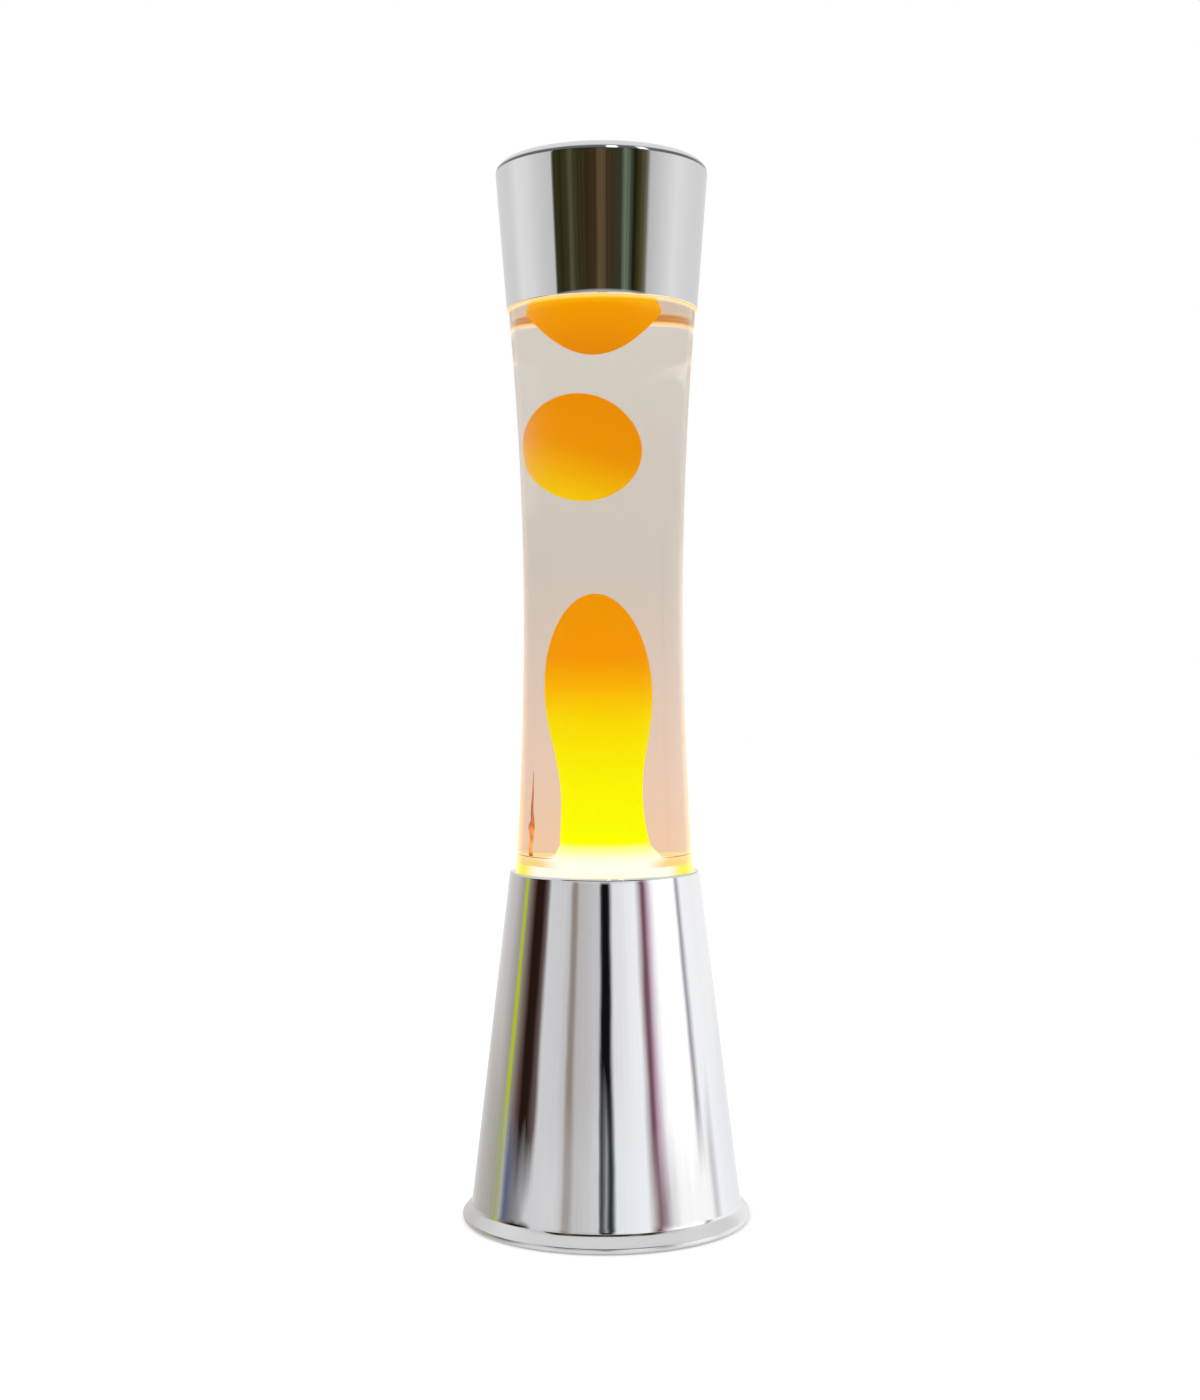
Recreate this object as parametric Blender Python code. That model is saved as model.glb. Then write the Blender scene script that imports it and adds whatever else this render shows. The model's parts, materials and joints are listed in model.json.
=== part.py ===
"""A lava lamp: a waisted glass bottle of clear liquid and wax, a chromed cone with a
reflector bulb in it that the bottle stands in, and a chromed cap over the bottle's neck.

Metres, +Z up. The origin is the middle of the plane that the feet stand on, and +Y is the
back, where the mains cord enters. Each assembly has an empty at its own datum height, and
its pieces are drawn in heights above that datum.
"""

import math

import bmesh
import bpy
from mathutils import Matrix, Vector

# ---- driving dimensions -------------------------------------------------------------
GAP = 0.0003  # between pieces that rest on or against each other
HEIGHT = 0.395

# base cone
SHEET = 0.0010
RIM_Z, RIM_R, RIM_BORE = 0.1295, 0.0355, 0.0339
FLARE_Z, FLARE_R = 0.0062, 0.0502
LIP_Z, LIP_R = 0.0008, 0.0539
SEAT_Z, SEAT_BORE = 0.1155, 0.0215
SEAT_THICK = 0.0020
GASKET_THICK = 0.0012
GLAND_Z, GLAND_HOLE_R, CORD_BORE_R = 0.0200, 0.0046, 0.0031

# bottom cover and what holds it
COVER_Z, COVER_THICK, COVER_R = 0.0032, 0.0025, 0.0480
PEDESTAL_TOP, PEDESTAL_R = 0.0137, 0.0120
SCREW_CIRCLE, FOOT_CIRCLE = 0.0435, 0.0400
SCREW_R, SCREW_HEAD_R = 0.0014, 0.0028
FOOT_R = 0.0055
TAB_WIDTH, TAB_THICK, TAB_RISE, TAB_REACH = 0.0090, 0.0012, 0.0075, 0.0095

# lampholder (E14) and its bulb (R39 reflector)
THREAD_PITCH, THREAD_DEPTH = 0.00282, 0.0004
BULB_THREAD_R, THREAD_PLAY = 0.0066, 0.0003
BULB_Z, BULB_LENGTH, BULB_R = 0.0380, 0.0660, 0.0195
HOLDER_R, HOLDER_TOP = 0.0140, 0.0468
NIPPLE_R, NIPPLE_BORE = 0.0049, 0.0036

# bottle, in heights above its foot
BOTTLE_Z = SEAT_Z + GAP + GASKET_THICK + GAP
WALL = 0.0024
HEEL_Z, HEEL_R = 0.0115, 0.0334
WAIST_Z, WAIST_R = 0.1107, 0.02995
SHOULDER_Z, SHOULDER_R = 0.2208, 0.0352
LEDGE_Z, LEDGE_R = 0.2217, 0.0339
NECK_R, MOUTH_R, MOUTH_Z = 0.0125, 0.0088, 0.2687
FLOOR_Z = 0.0066

# liquid and wax, in heights above the bottle's foot
POOL_Z, LIQUID_Z = 0.0168, 0.2335
WAX_TOP_Z, WAX_BELLY_Z, WAX_NECK_Z = 0.1155, 0.0787, 0.0397
WAX_BELLY_R, WAX_NECK_R, WAX_FLARE = 0.0149, 0.0113, 3.7
WAX_LEAN = -0.0016
BLOB_AT, BLOB_RADII = (-0.0062, 0.0, 0.1703), (0.0166, 0.0166, 0.0201)
TOP_BLOB_AT, TOP_BLOB_R, TOP_BLOB_BELLY = (-0.0025, 0.0, 0.2049), 0.0191, 0.0170
TOP_BLOB_WAIST_R, TOP_BLOB_WAIST, TOP_BLOB_TOP_R = 0.0168, 0.0210, 0.0130
COIL_RING_R, COIL_R, COIL_WIRE_R, COIL_TURNS = 0.0210, 0.0021, 0.00045, 20

# cap, in heights above its rim
CAP_Z = BOTTLE_Z + LEDGE_Z + GAP
CAP_HEIGHT = HEIGHT - CAP_Z
CAP_THICK, CAP_RIM_R, CAP_TOP_R = 0.0012, 0.0357, 0.0400
CAP_SHOULDER_Z, CAP_FILLET, CAP_CROWN, CAP_CROWN_R = 0.0541, 0.0032, 0.0012, 0.0292
CROWN_FLUTES, CROWN_R = 21, 0.0152

# sides of the turned pieces, by their size: multiples of four, so that an axis meets a face
LARGE, MEDIUM, SMALL, TINY = 28, 20, 16, 8


# ---- shape tools --------------------------------------------------------------------
def material(name, colour, roughness, metallic=0.0, alpha=1.0):
    made = bpy.data.materials.new(name)
    made.use_nodes = True
    shader = made.node_tree.nodes["Principled BSDF"]
    shader.inputs["Base Color"].default_value = (*colour, 1.0)
    shader.inputs["Roughness"].default_value = roughness
    shader.inputs["Metallic"].default_value = metallic
    shader.inputs["Alpha"].default_value = alpha
    return made


def rounded(corners):
    """The points of a path of (radius, height, fillet) corners. Each fillet is an arc, of
    more steps the larger it is."""
    points = []
    for i, (r, z, fillet) in enumerate(corners):
        here = Vector((r, z))
        if not fillet:
            points.append(here)
            continue
        back = (Vector(corners[i - 1][:2]) - here).normalized()
        on = (Vector(corners[(i + 1) % len(corners)][:2]) - here).normalized()
        half = back.angle(on) / 2
        centre = here + (back + on).normalized() * fillet / math.sin(half)
        reach = fillet / math.tan(half)
        start = here + back * reach - centre
        turn = (here + on * reach - centre).angle_signed(start)
        steps = 1 + (fillet > 0.0020) + (fillet > 0.0060)
        for step in range(steps + 1):
            swing = Matrix.Rotation(turn * step / steps, 2)
            points.append(centre + swing @ start)
    return points


def offset(path, distance):
    """The path moved to its right-hand side, with a point on the axis kept on it."""
    moved = []
    for i, here in enumerate(path):
        ahead = path[min(i + 1, len(path) - 1)] - path[max(i - 1, 0)]
        side = Vector((ahead.y, -ahead.x)).normalized() * distance
        moved.append(Vector((0.0 if here.x < 1e-6 else here.x + side.x, here.y + side.y)))
    return moved


def thickened(path, thickness):
    """A closed outline: the path, and its copy moved to its right-hand side by thickness."""
    return path + offset(path, thickness)[::-1]


def link(name, mesh, look, parent=None, at=(0, 0, 0), turn=(0, 0, 0)):
    """The one object of a sub-part, shaded smooth between its sharp edges."""
    mesh.shade_smooth()
    mesh.set_sharp_from_angle(angle=math.radians(35))
    made = bpy.data.objects.new(name, mesh)
    made.data.materials.append(look)
    made.parent = parent
    made.location = at
    made.rotation_euler = turn
    bpy.context.scene.collection.objects.link(made)
    return made


def mesh_of(shape, name):
    bmesh.ops.remove_doubles(shape, verts=shape.verts, dist=1e-6)
    bmesh.ops.recalc_face_normals(shape, faces=shape.faces)
    mesh = bpy.data.meshes.new(name)
    shape.to_mesh(mesh)
    shape.free()
    return mesh


def turned_mesh(name, outline, segments=MEDIUM, reshape=None, lean=None):
    """A closed outline of (radius, height) points spun once round Z. reshape(radius,
    angle, height) gives a vertex a new radius, and lean(height) moves it along X. The
    first outline is half a segment off the X axis, so a cut made on an axis is clear of it.
    """
    shape = bmesh.new()
    first = math.pi / segments
    ring = [shape.verts.new((r * math.cos(first), r * math.sin(first), z)) for r, z in outline]
    edges = [
        shape.edges.new((a, b))
        for a, b in zip(ring, ring[1:] + ring[:1])
        if max(a.co.x, b.co.x) > 1e-7
    ]
    bmesh.ops.spin(
        shape, geom=ring + edges, axis=(0, 0, 1), cent=(0, 0, 0), dvec=(0, 0, 0),
        angle=2 * math.pi, steps=segments, use_merge=True,
    )
    for vertex in shape.verts:
        radius, angle = math.hypot(vertex.co.x, vertex.co.y), math.atan2(vertex.co.y, vertex.co.x)
        if reshape and radius > 1e-6:
            new_radius = reshape(radius, angle, vertex.co.z)
            vertex.co.x *= new_radius / radius
            vertex.co.y *= new_radius / radius
        if lean:
            vertex.co.x += lean(vertex.co.z)
    return mesh_of(shape, name)


def turned(name, outline, look, parent=None, segments=MEDIUM, reshape=None, **place):
    return link(name, turned_mesh(name, outline, segments, reshape), look, parent, **place)


def prism_mesh(name, outline, width):
    """An outline of (x, z) points made solid from -width/2 to width/2 along Y."""
    shape = bmesh.new()
    face = shape.faces.new([shape.verts.new((x, -width / 2, z)) for x, z in outline])
    grown = bmesh.ops.extrude_face_region(shape, geom=[face])
    raised = [item for item in grown["geom"] if isinstance(item, bmesh.types.BMVert)]
    bmesh.ops.translate(shape, verts=raised, vec=(0, width, 0))
    return mesh_of(shape, name)


def bar_mesh(name, length, radius, segments=TINY):
    """A cylinder along Z, from 0 up to length."""
    return turned_mesh(name, [(0, 0), (radius, 0), (radius, length), (0, length)], segments)


def ellipsoid_mesh(name, radii, u=SMALL, v=10):
    shape = bmesh.new()
    bmesh.ops.create_uvsphere(shape, u_segments=u, v_segments=v, radius=1.0)
    bmesh.ops.scale(shape, vec=radii, verts=shape.verts)
    return mesh_of(shape, name)


def cut(target, cutters):
    """Takes each cutter, a (mesh, place matrix) pair in the target's own frame, from it."""
    for i, (mesh, place) in enumerate(cutters):
        tool = bpy.data.objects.new(f"cutter_{target.name}_{i}", mesh)
        tool.parent = target.parent
        tool.matrix_basis = target.matrix_basis @ place
        tool.hide_render = True
        tool.display_type = "WIRE"
        bpy.context.scene.collection.objects.link(tool)
        opening = target.modifiers.new(f"cut_{i}", "BOOLEAN")
        opening.operation = "DIFFERENCE"
        opening.object = tool


def assembly(name, height, parent=None):
    """The empty that an assembly hangs on, at its datum height above its parent's."""
    made = bpy.data.objects.new(name, None)
    made.parent = parent
    made.location.z = height
    bpy.context.scene.collection.objects.link(made)
    return made


def round_z(degrees, radius=0.0, z=0.0):
    """A place at that angle round Z, radius away from it, with local X pointing outwards."""
    return Matrix.Rotation(math.radians(degrees), 4, "Z") @ Matrix.Translation((radius, 0, z))


def put(made, matrix):
    made.matrix_basis = matrix
    return made


# ---- looks --------------------------------------------------------------------------
def make_looks():
    return {
        "chrome": material("chrome", (0.78, 0.78, 0.77), 0.05, metallic=1.0),
        "glass": material("glass", (0.95, 0.94, 0.92), 0.02, alpha=0.3),
        "liquid": material("liquid", (0.86, 0.83, 0.79), 0.02, alpha=0.25),
        "wax": material("wax", (1.0, 0.50, 0.02), 0.45),
        "nickel": material("nickel", (0.66, 0.64, 0.60), 0.25, metallic=1.0),
        "brass": material("brass", (0.78, 0.60, 0.32), 0.28, metallic=1.0),
        "steel": material("steel", (0.55, 0.55, 0.56), 0.35, metallic=1.0),
        "tungsten": material("tungsten", (0.20, 0.19, 0.18), 0.40, metallic=1.0),
        "bulb_glass": material("bulb_glass", (0.92, 0.91, 0.87), 0.35),
        "clear_glass": material("clear_glass", (0.90, 0.92, 0.92), 0.05),
        "bakelite": material("bakelite", (0.035, 0.033, 0.032), 0.35),
        "ceramic": material("ceramic", (0.85, 0.83, 0.78), 0.50),
        "black_plastic": material("black_plastic", (0.03, 0.03, 0.03), 0.55),
        "rubber": material("rubber", (0.05, 0.05, 0.05), 0.85),
        "silicone": material("silicone", (0.80, 0.79, 0.76), 0.60),
        "foam": material("foam", (0.10, 0.10, 0.10), 0.95),
    }


# ---- base ---------------------------------------------------------------------------
def cone_radius(z):
    """The outer radius of the base cone at a height."""
    return RIM_R + (RIM_Z - z) * (FLARE_R - RIM_R) / (RIM_Z - FLARE_Z)


CONE_TILT = math.atan((FLARE_R - RIM_R) / (RIM_Z - FLARE_Z))


def inside_radius(z):
    """Just clear of the cone's inner face."""
    return cone_radius(z) - SHEET / math.cos(CONE_TILT) - GAP


def base_shell(parent, looks):
    hem_z, lip_inner = RIM_Z - 0.0045, LIP_R - SHEET - 0.0002
    outline = rounded([
        (RIM_BORE, hem_z, 0),
        (RIM_BORE, RIM_Z, 0.0006),
        (RIM_R, RIM_Z, 0.0009),
        (FLARE_R, FLARE_Z, 0.0030),
        (LIP_R, LIP_Z + 0.0014, 0.0010),
        (LIP_R - 0.0004, LIP_Z, 0),
        (lip_inner, LIP_Z, 0),
        (lip_inner, LIP_Z + 0.0010, 0),
        (FLARE_R - SHEET, FLARE_Z - 0.0003, 0.0030),
        (cone_radius(hem_z) - SHEET, hem_z, 0),
    ])
    shell = turned("base_shell", outline, looks["chrome"], parent, LARGE)
    cut(shell, [(bar_mesh("gland_hole", 0.012, GLAND_HOLE_R), gland_place(-0.006))])


def gland_place(out=0.0):
    """The cord's way through the back of the cone: local Z points out, square to the wall."""
    wall = Matrix.Translation((cone_radius(GLAND_Z), 0, GLAND_Z))
    face_out = Matrix.Rotation(math.pi / 2 - CONE_TILT, 4, "Y")
    return round_z(90) @ wall @ face_out @ Matrix.Translation((0, 0, out))


def cord_gland(parent, looks):
    """A rubber grommet in the cone's wall: an outer flange, a neck and an inner flange."""
    lip, under = 0.0016, -SHEET - 0.0009
    outline = rounded([
        (CORD_BORE_R, GAP + lip, 0.0006),
        (GLAND_HOLE_R + 0.0020, GAP + lip, 0.0006),
        (GLAND_HOLE_R + 0.0020, GAP, 0),
        (GLAND_HOLE_R - GAP, GAP, 0),
        (GLAND_HOLE_R - GAP, under, 0),
        (GLAND_HOLE_R + 0.0010, under, 0),
        (GLAND_HOLE_R + 0.0004, under - lip, 0),
        (CORD_BORE_R, under - lip, 0),
    ])
    put(turned("cord_gland", outline, looks["rubber"], parent, SMALL), gland_place())


def bottle_seat(parent, looks):
    """The ring inside the cone's top that the bottle stands on, with a skirt on the wall."""
    skirt_z, skirt = SEAT_Z - 0.0120, 0.0015
    under = SEAT_Z - SEAT_THICK
    outline = rounded([
        (SEAT_BORE, under, 0.0006),
        (SEAT_BORE, SEAT_Z, 0.0006),
        (inside_radius(SEAT_Z), SEAT_Z, 0.0006),
        (inside_radius(skirt_z), skirt_z, 0),
        (inside_radius(skirt_z) - skirt, skirt_z, 0),
        (inside_radius(under) - skirt, under, 0.0010),
    ])
    turned("bottle_seat", outline, looks["steel"], parent)
    low, high = SEAT_Z + GAP, SEAT_Z + GAP + GASKET_THICK
    gasket = [(0.0226, low), (0.0300, low), (0.0300, high), (0.0226, high)]
    turned("seat_gasket", gasket, looks["silicone"], parent)


def slot_mesh(length, width, depth):
    """A round-ended slot along X, cut upwards from 0."""
    ends = []
    for side in (1, -1):
        for step in range(4):
            angle = math.radians(-90 + 60 * step)
            x, y = (length - width) / 2 + math.cos(angle) * width / 2, math.sin(angle) * width / 2
            ends.append((side * x, side * y))
    shape = bmesh.new()
    face = shape.faces.new([shape.verts.new((x, y, 0)) for x, y in ends])
    grown = bmesh.ops.extrude_face_region(shape, geom=[face])
    raised = [item for item in grown["geom"] if isinstance(item, bmesh.types.BMVert)]
    bmesh.ops.translate(shape, verts=raised, vec=(0, 0, depth))
    return mesh_of(shape, "slot")


def bottom_cover(parent, looks):
    """The moulded disc that closes the cone, with a hollow pedestal for the lampholder,
    cooling slots round it, and holes for its screws and the nipple."""
    top, roof = COVER_Z + COVER_THICK, 0.0022
    outline = rounded([
        (0, PEDESTAL_TOP, 0),
        (PEDESTAL_R, PEDESTAL_TOP, 0.0010),
        (PEDESTAL_R + 0.0012, top, 0),
        (COVER_R, top, 0.0005),
        (COVER_R, COVER_Z, 0.0005),
        (PEDESTAL_R - 0.0010, COVER_Z, 0),
        (PEDESTAL_R - 0.0022, PEDESTAL_TOP - roof, 0),
        (0, PEDESTAL_TOP - roof, 0),
    ])
    cover = turned("bottom_cover", outline, looks["black_plastic"], parent)
    through, below = COVER_THICK + 0.002, COVER_Z - 0.001
    slot = slot_mesh(0.0150, 0.0034, through)
    screw_hole = bar_mesh("screw_hole", through, SCREW_R + 0.0004)
    nipple_hole = bar_mesh("nipple_hole", roof + 0.002, NIPPLE_R + GAP, SMALL)
    cut(cover, [(nipple_hole, Matrix.Translation((0, 0, PEDESTAL_TOP - roof - 0.001)))])
    slots, screws = 12, 4
    cut(cover, [(slot, round_z(360 * (i + 0.5) / slots, 0.0245, below)) for i in range(slots)])
    cut(cover, [(screw_hole, round_z(90 * i, SCREW_CIRCLE, below)) for i in range(screws)])


def cover_fixings(parent, looks):
    """Four angle tabs inside the cone, the screws that hold the cover to them, four feet."""
    foot_z = COVER_Z + COVER_THICK + GAP
    bend, crest = foot_z + TAB_THICK, foot_z + TAB_RISE
    wall_gap = 0.0004
    outer = inside_radius(foot_z) - wall_gap, inside_radius(crest) - wall_gap
    profile = [
        (outer[0] - TAB_REACH, foot_z),
        (outer[0], foot_z),
        (outer[1], crest),
        (outer[1] - TAB_THICK, crest),
        (outer[0] - TAB_THICK, bend),
        (outer[0] - TAB_REACH, bend),
    ]
    tab = prism_mesh("tab", profile, TAB_WIDTH)
    tap_hole = bar_mesh("tap_hole", 0.004, SCREW_R + GAP)
    for i in range(4):
        made = link(f"cover_tab_{i + 1}", tab, looks["steel"], parent)
        cut(made, [(tap_hole, Matrix.Translation((SCREW_CIRCLE, 0, foot_z - 0.001)))])
        for mark in (made, bpy.data.objects[f"cutter_{made.name}_0"]):
            mark.matrix_basis = round_z(90 * i) @ mark.matrix_basis

    head_z, head = COVER_Z - GAP, 0.0016
    screw = rounded([
        (0, head_z - head, 0),
        (SCREW_HEAD_R, head_z - head, 0.0010),
        (SCREW_HEAD_R, head_z, 0),
        (SCREW_R, head_z, 0),
        (SCREW_R, head_z + 0.0070, 0.0004),
        (0, head_z + 0.0070, 0),
    ])
    mesh = turned_mesh("screw", screw, TINY)
    recess = prism_mesh("recess", [(-0.0017, 0), (0.0017, 0), (0.0017, 0.0010), (-0.0017, 0.0010)], 0.0007)
    for i in range(4):
        place = round_z(90 * i, SCREW_CIRCLE)
        made = put(link(f"cover_screw_{i + 1}", mesh, looks["steel"], parent), place)
        low = Matrix.Translation((0, 0, head_z - head - 0.0002))
        cut(made, [(recess, low @ Matrix.Rotation(turn, 4, "Z")) for turn in (0, math.pi / 2)])

    pad = rounded([
        (0, 0, 0), (FOOT_R, 0, 0.0005), (FOOT_R - 0.0005, COVER_Z - GAP, 0), (0, COVER_Z - GAP, 0),
    ])
    mesh = turned_mesh("foot", pad, SMALL)
    for i in range(4):
        foot = link(f"rubber_foot_{i + 1}", mesh, looks["rubber"], parent)
        put(foot, round_z(45 + 90 * i, FOOT_CIRCLE))


# ---- lampholder ---------------------------------------------------------------------
def thread_wave(radius, angle, z, depth, phase=0.0):
    """A right-hand screw thread's swing of radius about its mean."""
    return radius + depth * math.cos(2 * math.pi * z / THREAD_PITCH - angle + phase)


def threaded_band(low, high, radius):
    """The points of a straight wall, close enough together to carry a thread."""
    count = round((high - low) / THREAD_PITCH * 4)
    return [Vector((radius, low + (high - low) * i / count)) for i in range(count + 1)]


def lampholder(parent, looks):
    """Heights above the pedestal. It is fixed by a hollow nipple with a nut below."""
    skirt_top, shelf, wall = 0.0120, 0.0100, 0.0016
    base = rounded([
        (NIPPLE_R + GAP, GAP, 0),
        (HOLDER_R - 0.0012, GAP, 0.0012),
        (HOLDER_R - 0.0004, skirt_top, 0),
        (HOLDER_R - wall, skirt_top, 0),
        (HOLDER_R - wall - 0.0010, 0.0030, 0.0010),
        (NIPPLE_R + 0.0030, 0.0030, 0),
        (NIPPLE_R + 0.0030, 0.0088, 0),
        (NIPPLE_R + GAP, 0.0088, 0),
    ])
    turned("holder_base", base, looks["bakelite"], parent)

    ribs = 14
    body = rounded([
        (HOLDER_R - wall, skirt_top + GAP, 0),
        (HOLDER_R, skirt_top + GAP, 0),
        (HOLDER_R, 0.0200, 0),
        (HOLDER_R, 0.0380, 0),
        (HOLDER_R, HOLDER_TOP, 0.0020),
        (0.0096, HOLDER_TOP, 0.0006),
        (0.0096, HOLDER_TOP - 0.0020, 0),
        (HOLDER_R - wall, HOLDER_TOP - 0.0040, 0),
    ])

    def grip(radius, angle, z):
        ribbed = radius > HOLDER_R - 0.0002 and 0.0190 < z < 0.0390
        return radius - 0.0005 * (math.sin(ribs * angle) < 0) if ribbed else radius

    turned("holder_body", body, looks["bakelite"], parent, 2 * ribs, reshape=grip)

    core_low, core_high, core_r = skirt_top - 0.0010, 0.0200, HOLDER_R - wall - 0.0012
    core = rounded([
        (0, core_low, 0), (core_r, core_low, 0.0006), (core_r, core_high, 0.0006),
        (0.0065, core_high, 0), (0.0060, core_high + 0.0014, 0), (0, core_high + 0.0014, 0),
    ])
    core = turned("holder_core", core, looks["ceramic"], parent, SMALL)
    pocket = bar_mesh("pocket", 0.006, 0.0019)
    pockets = [round_z(180 * i, 0.0082, core_low - 0.001) for i in range(2)]
    cut(core, [(pocket, place) for place in pockets])

    screw = turned_mesh("terminal", rounded([
        (0, 0, 0), (0.0016, 0, 0.0003), (0.0016, 0.0012, 0), (0.0010, 0.0012, 0),
        (0.0010, 0.0044, 0), (0, 0.0044, 0),
    ]), segments=12)
    for i, side in enumerate(("line", "neutral")):
        made = link(f"terminal_screw_{side}", screw, looks["brass"], parent)
        put(made, round_z(180 * i, 0.0082, core_low + 0.0002))

    thread_r = BULB_THREAD_R + THREAD_DEPTH + THREAD_PLAY
    sleeve_low, sleeve_high, outer = 0.0298, 0.0398, thread_r + THREAD_DEPTH + 0.0007
    mean = thread_r - THREAD_DEPTH + THREAD_PLAY
    sleeve = [Vector((outer, sleeve_low)), Vector((outer, sleeve_high))]
    sleeve += threaded_band(sleeve_low, sleeve_high, mean)[::-1]

    def sleeve_thread(radius, angle, z):
        inner = radius < outer - 0.0003
        height = z + PEDESTAL_TOP - BULB_Z
        return thread_wave(radius, angle, height, THREAD_DEPTH) if inner else radius

    turned("thread_sleeve", sleeve, looks["brass"], parent, SMALL, sleeve_thread)

    foot_z, tip_z = core_high + 0.0014 + GAP, BULB_Z - PEDESTAL_TOP - GAP
    leaf = 0.0004
    tongue = [
        (-0.0050, foot_z), (0.0045, foot_z), (0.0045, foot_z + leaf), (-0.0025, foot_z + leaf),
        (0.0005, tip_z - leaf), (0.0026, tip_z - leaf), (0.0026, tip_z), (-0.0001, tip_z),
        (-0.0031, foot_z + leaf), (-0.0050, foot_z + leaf),
    ]
    link("centre_contact", prism_mesh("tongue", tongue, 0.0040), looks["brass"], parent)

    strap_r = outer + GAP
    strap = [
        (strap_r, core_high + GAP), (strap_r + leaf, core_high + GAP),
        (strap_r + leaf, sleeve_high - 0.0020), (strap_r, sleeve_high - 0.0020),
    ]
    strap_mesh = prism_mesh("strap", strap, 0.0035)
    put(link("side_contact", strap_mesh, looks["brass"], parent), round_z(90))

    nipple_low, nipple_high = -0.0052, 0.0085
    nipple = [(NIPPLE_BORE, nipple_low), (NIPPLE_R, nipple_low),
              (NIPPLE_R, nipple_high), (NIPPLE_BORE, nipple_high)]
    turned("nipple", nipple, looks["steel"], parent, SMALL)
    nut_top, nut_thick, nut_bore = -0.0022 - GAP, 0.0024, NIPPLE_R + 0.0001
    nut = [(nut_bore, nut_top - nut_thick), (0.0080, nut_top - nut_thick),
           (0.0080, nut_top), (nut_bore, nut_top)]

    side, corners = math.pi / 3, 24

    def hexagon(radius, angle, _):
        flat = 0.0068 / math.cos((angle - math.pi / corners) % side - side / 2)
        return flat if radius > NIPPLE_R + 0.001 else radius

    turned("nipple_nut", nut, looks["steel"], parent, corners, reshape=hexagon)


# ---- bulb ---------------------------------------------------------------------------
def bulb(parent, looks):
    """Heights above the bulb's tip. The whole of it turns about Z as it unscrews."""
    cap_low, cap_high, skin = 0.0050, 0.0225, 0.0009
    neck_r = 0.0088
    profile = rounded([
        (neck_r, cap_high + GAP, 0),
        (neck_r, 0.0330, 0.0080),
        (BULB_R, 0.0530, 0.0100),
        (BULB_R, BULB_LENGTH - 0.0020, 0.0045),
        (0.0100, BULB_LENGTH - 0.0004, 0),
        (0, BULB_LENGTH, 0),
    ])
    envelope = thickened(profile[::-1], skin)
    turned("bulb_envelope", envelope, looks["bulb_glass"], parent)

    bore = BULB_THREAD_R - THREAD_DEPTH - 0.0004
    band_high = cap_high - 0.0060
    shell = threaded_band(cap_low, band_high, BULB_THREAD_R)
    shell += [Vector((0.0076, band_high + 0.0014)), Vector((0.0090, cap_high)),
              Vector((0.0084, cap_high)), Vector((bore, band_high)), Vector((bore, cap_low))]

    def shell_thread(radius, angle, z):
        threaded = abs(radius - BULB_THREAD_R) < 1e-4 and z < band_high - 1e-5
        return thread_wave(radius, angle, z, THREAD_DEPTH) if threaded else radius

    turned("bulb_screw_shell", shell, looks["nickel"], parent, SMALL, shell_thread)

    tip_r, tip = 0.0024, 0.0012
    insulator = rounded([
        (0, tip + GAP, 0), (tip_r + 0.0006, tip + GAP, 0.0004), (bore + 0.0002, cap_low - GAP, 0),
        (0, cap_low - GAP, 0),
    ])
    turned("bulb_insulator", insulator, looks["bakelite"], parent, SMALL)
    contact = rounded([(0, 0, 0), (tip_r, 0, 0.0010), (tip_r, tip, 0), (0, tip, 0)])
    turned("bulb_tip_contact", contact, looks["nickel"], parent, TINY)

    stem = rounded([
        (0, 0.0120, 0), (0.0052, 0.0120, 0.0008), (0.0052, 0.0200, 0.0020),
        (0.0022, 0.0270, 0.0020), (0.0022, 0.0400, 0.0010), (0, 0.0400, 0),
    ])
    turned("bulb_stem", stem, looks["clear_glass"], parent, TINY)
    filament(parent, looks)


def filament(parent, looks):
    """The filament's coiled bow on its two supports, as one bent wire above the stem."""
    low, high, reach, coil_r, turns = 0.0406, 0.0500, 0.0060, 0.0007, 6
    path = [Vector((-0.0012, 0, low)), Vector((-reach, 0, high))]
    steps = turns * 6
    for i in range(steps + 1):
        share = i / steps
        angle = 2 * math.pi * turns * share
        bow = 0.0030 * math.sin(math.pi * share)
        path.append(Vector((
            reach * (2 * share - 1),
            coil_r * math.sin(angle) - bow,
            high + 0.0007 + coil_r * (1 - math.cos(angle)),
        )))
    path += [Vector((reach, 0, high)), Vector((0.0012, 0, low))]
    wire_object("bulb_filament", path, 0.00016, looks["tungsten"], parent)


def wire_object(name, points, radius, look, parent, cyclic=False):
    """A round wire along points, as a curve with a bevel."""
    curve = bpy.data.curves.new(name, "CURVE")
    curve.dimensions = "3D"
    curve.bevel_depth = radius
    curve.bevel_resolution = 0
    curve.use_fill_caps = not cyclic
    spline = curve.splines.new("POLY")
    spline.points.add(len(points) - 1)
    for point, co in zip(spline.points, points):
        point.co = (*co, 1)
    spline.use_cyclic_u = cyclic
    curve.materials.append(look)
    made = bpy.data.objects.new(name, curve)
    made.parent = parent
    bpy.context.scene.collection.objects.link(made)
    return made


# ---- bottle -------------------------------------------------------------------------
def bottle_radius(z):
    """The outer radius of the glass: two parabolas that meet at the waist."""
    if z < WAIST_Z:
        return WAIST_R + (HEEL_R - WAIST_R) * ((WAIST_Z - z) / (WAIST_Z - HEEL_Z)) ** 2
    return WAIST_R + (SHOULDER_R - WAIST_R) * ((z - WAIST_Z) / (SHOULDER_Z - WAIST_Z)) ** 2


def wall_points(low, high, inset, count):
    heights = [low + (high - low) * i / count for i in range(count + 1)]
    return [Vector((bottle_radius(z) - inset, z)) for z in heights]


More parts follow.
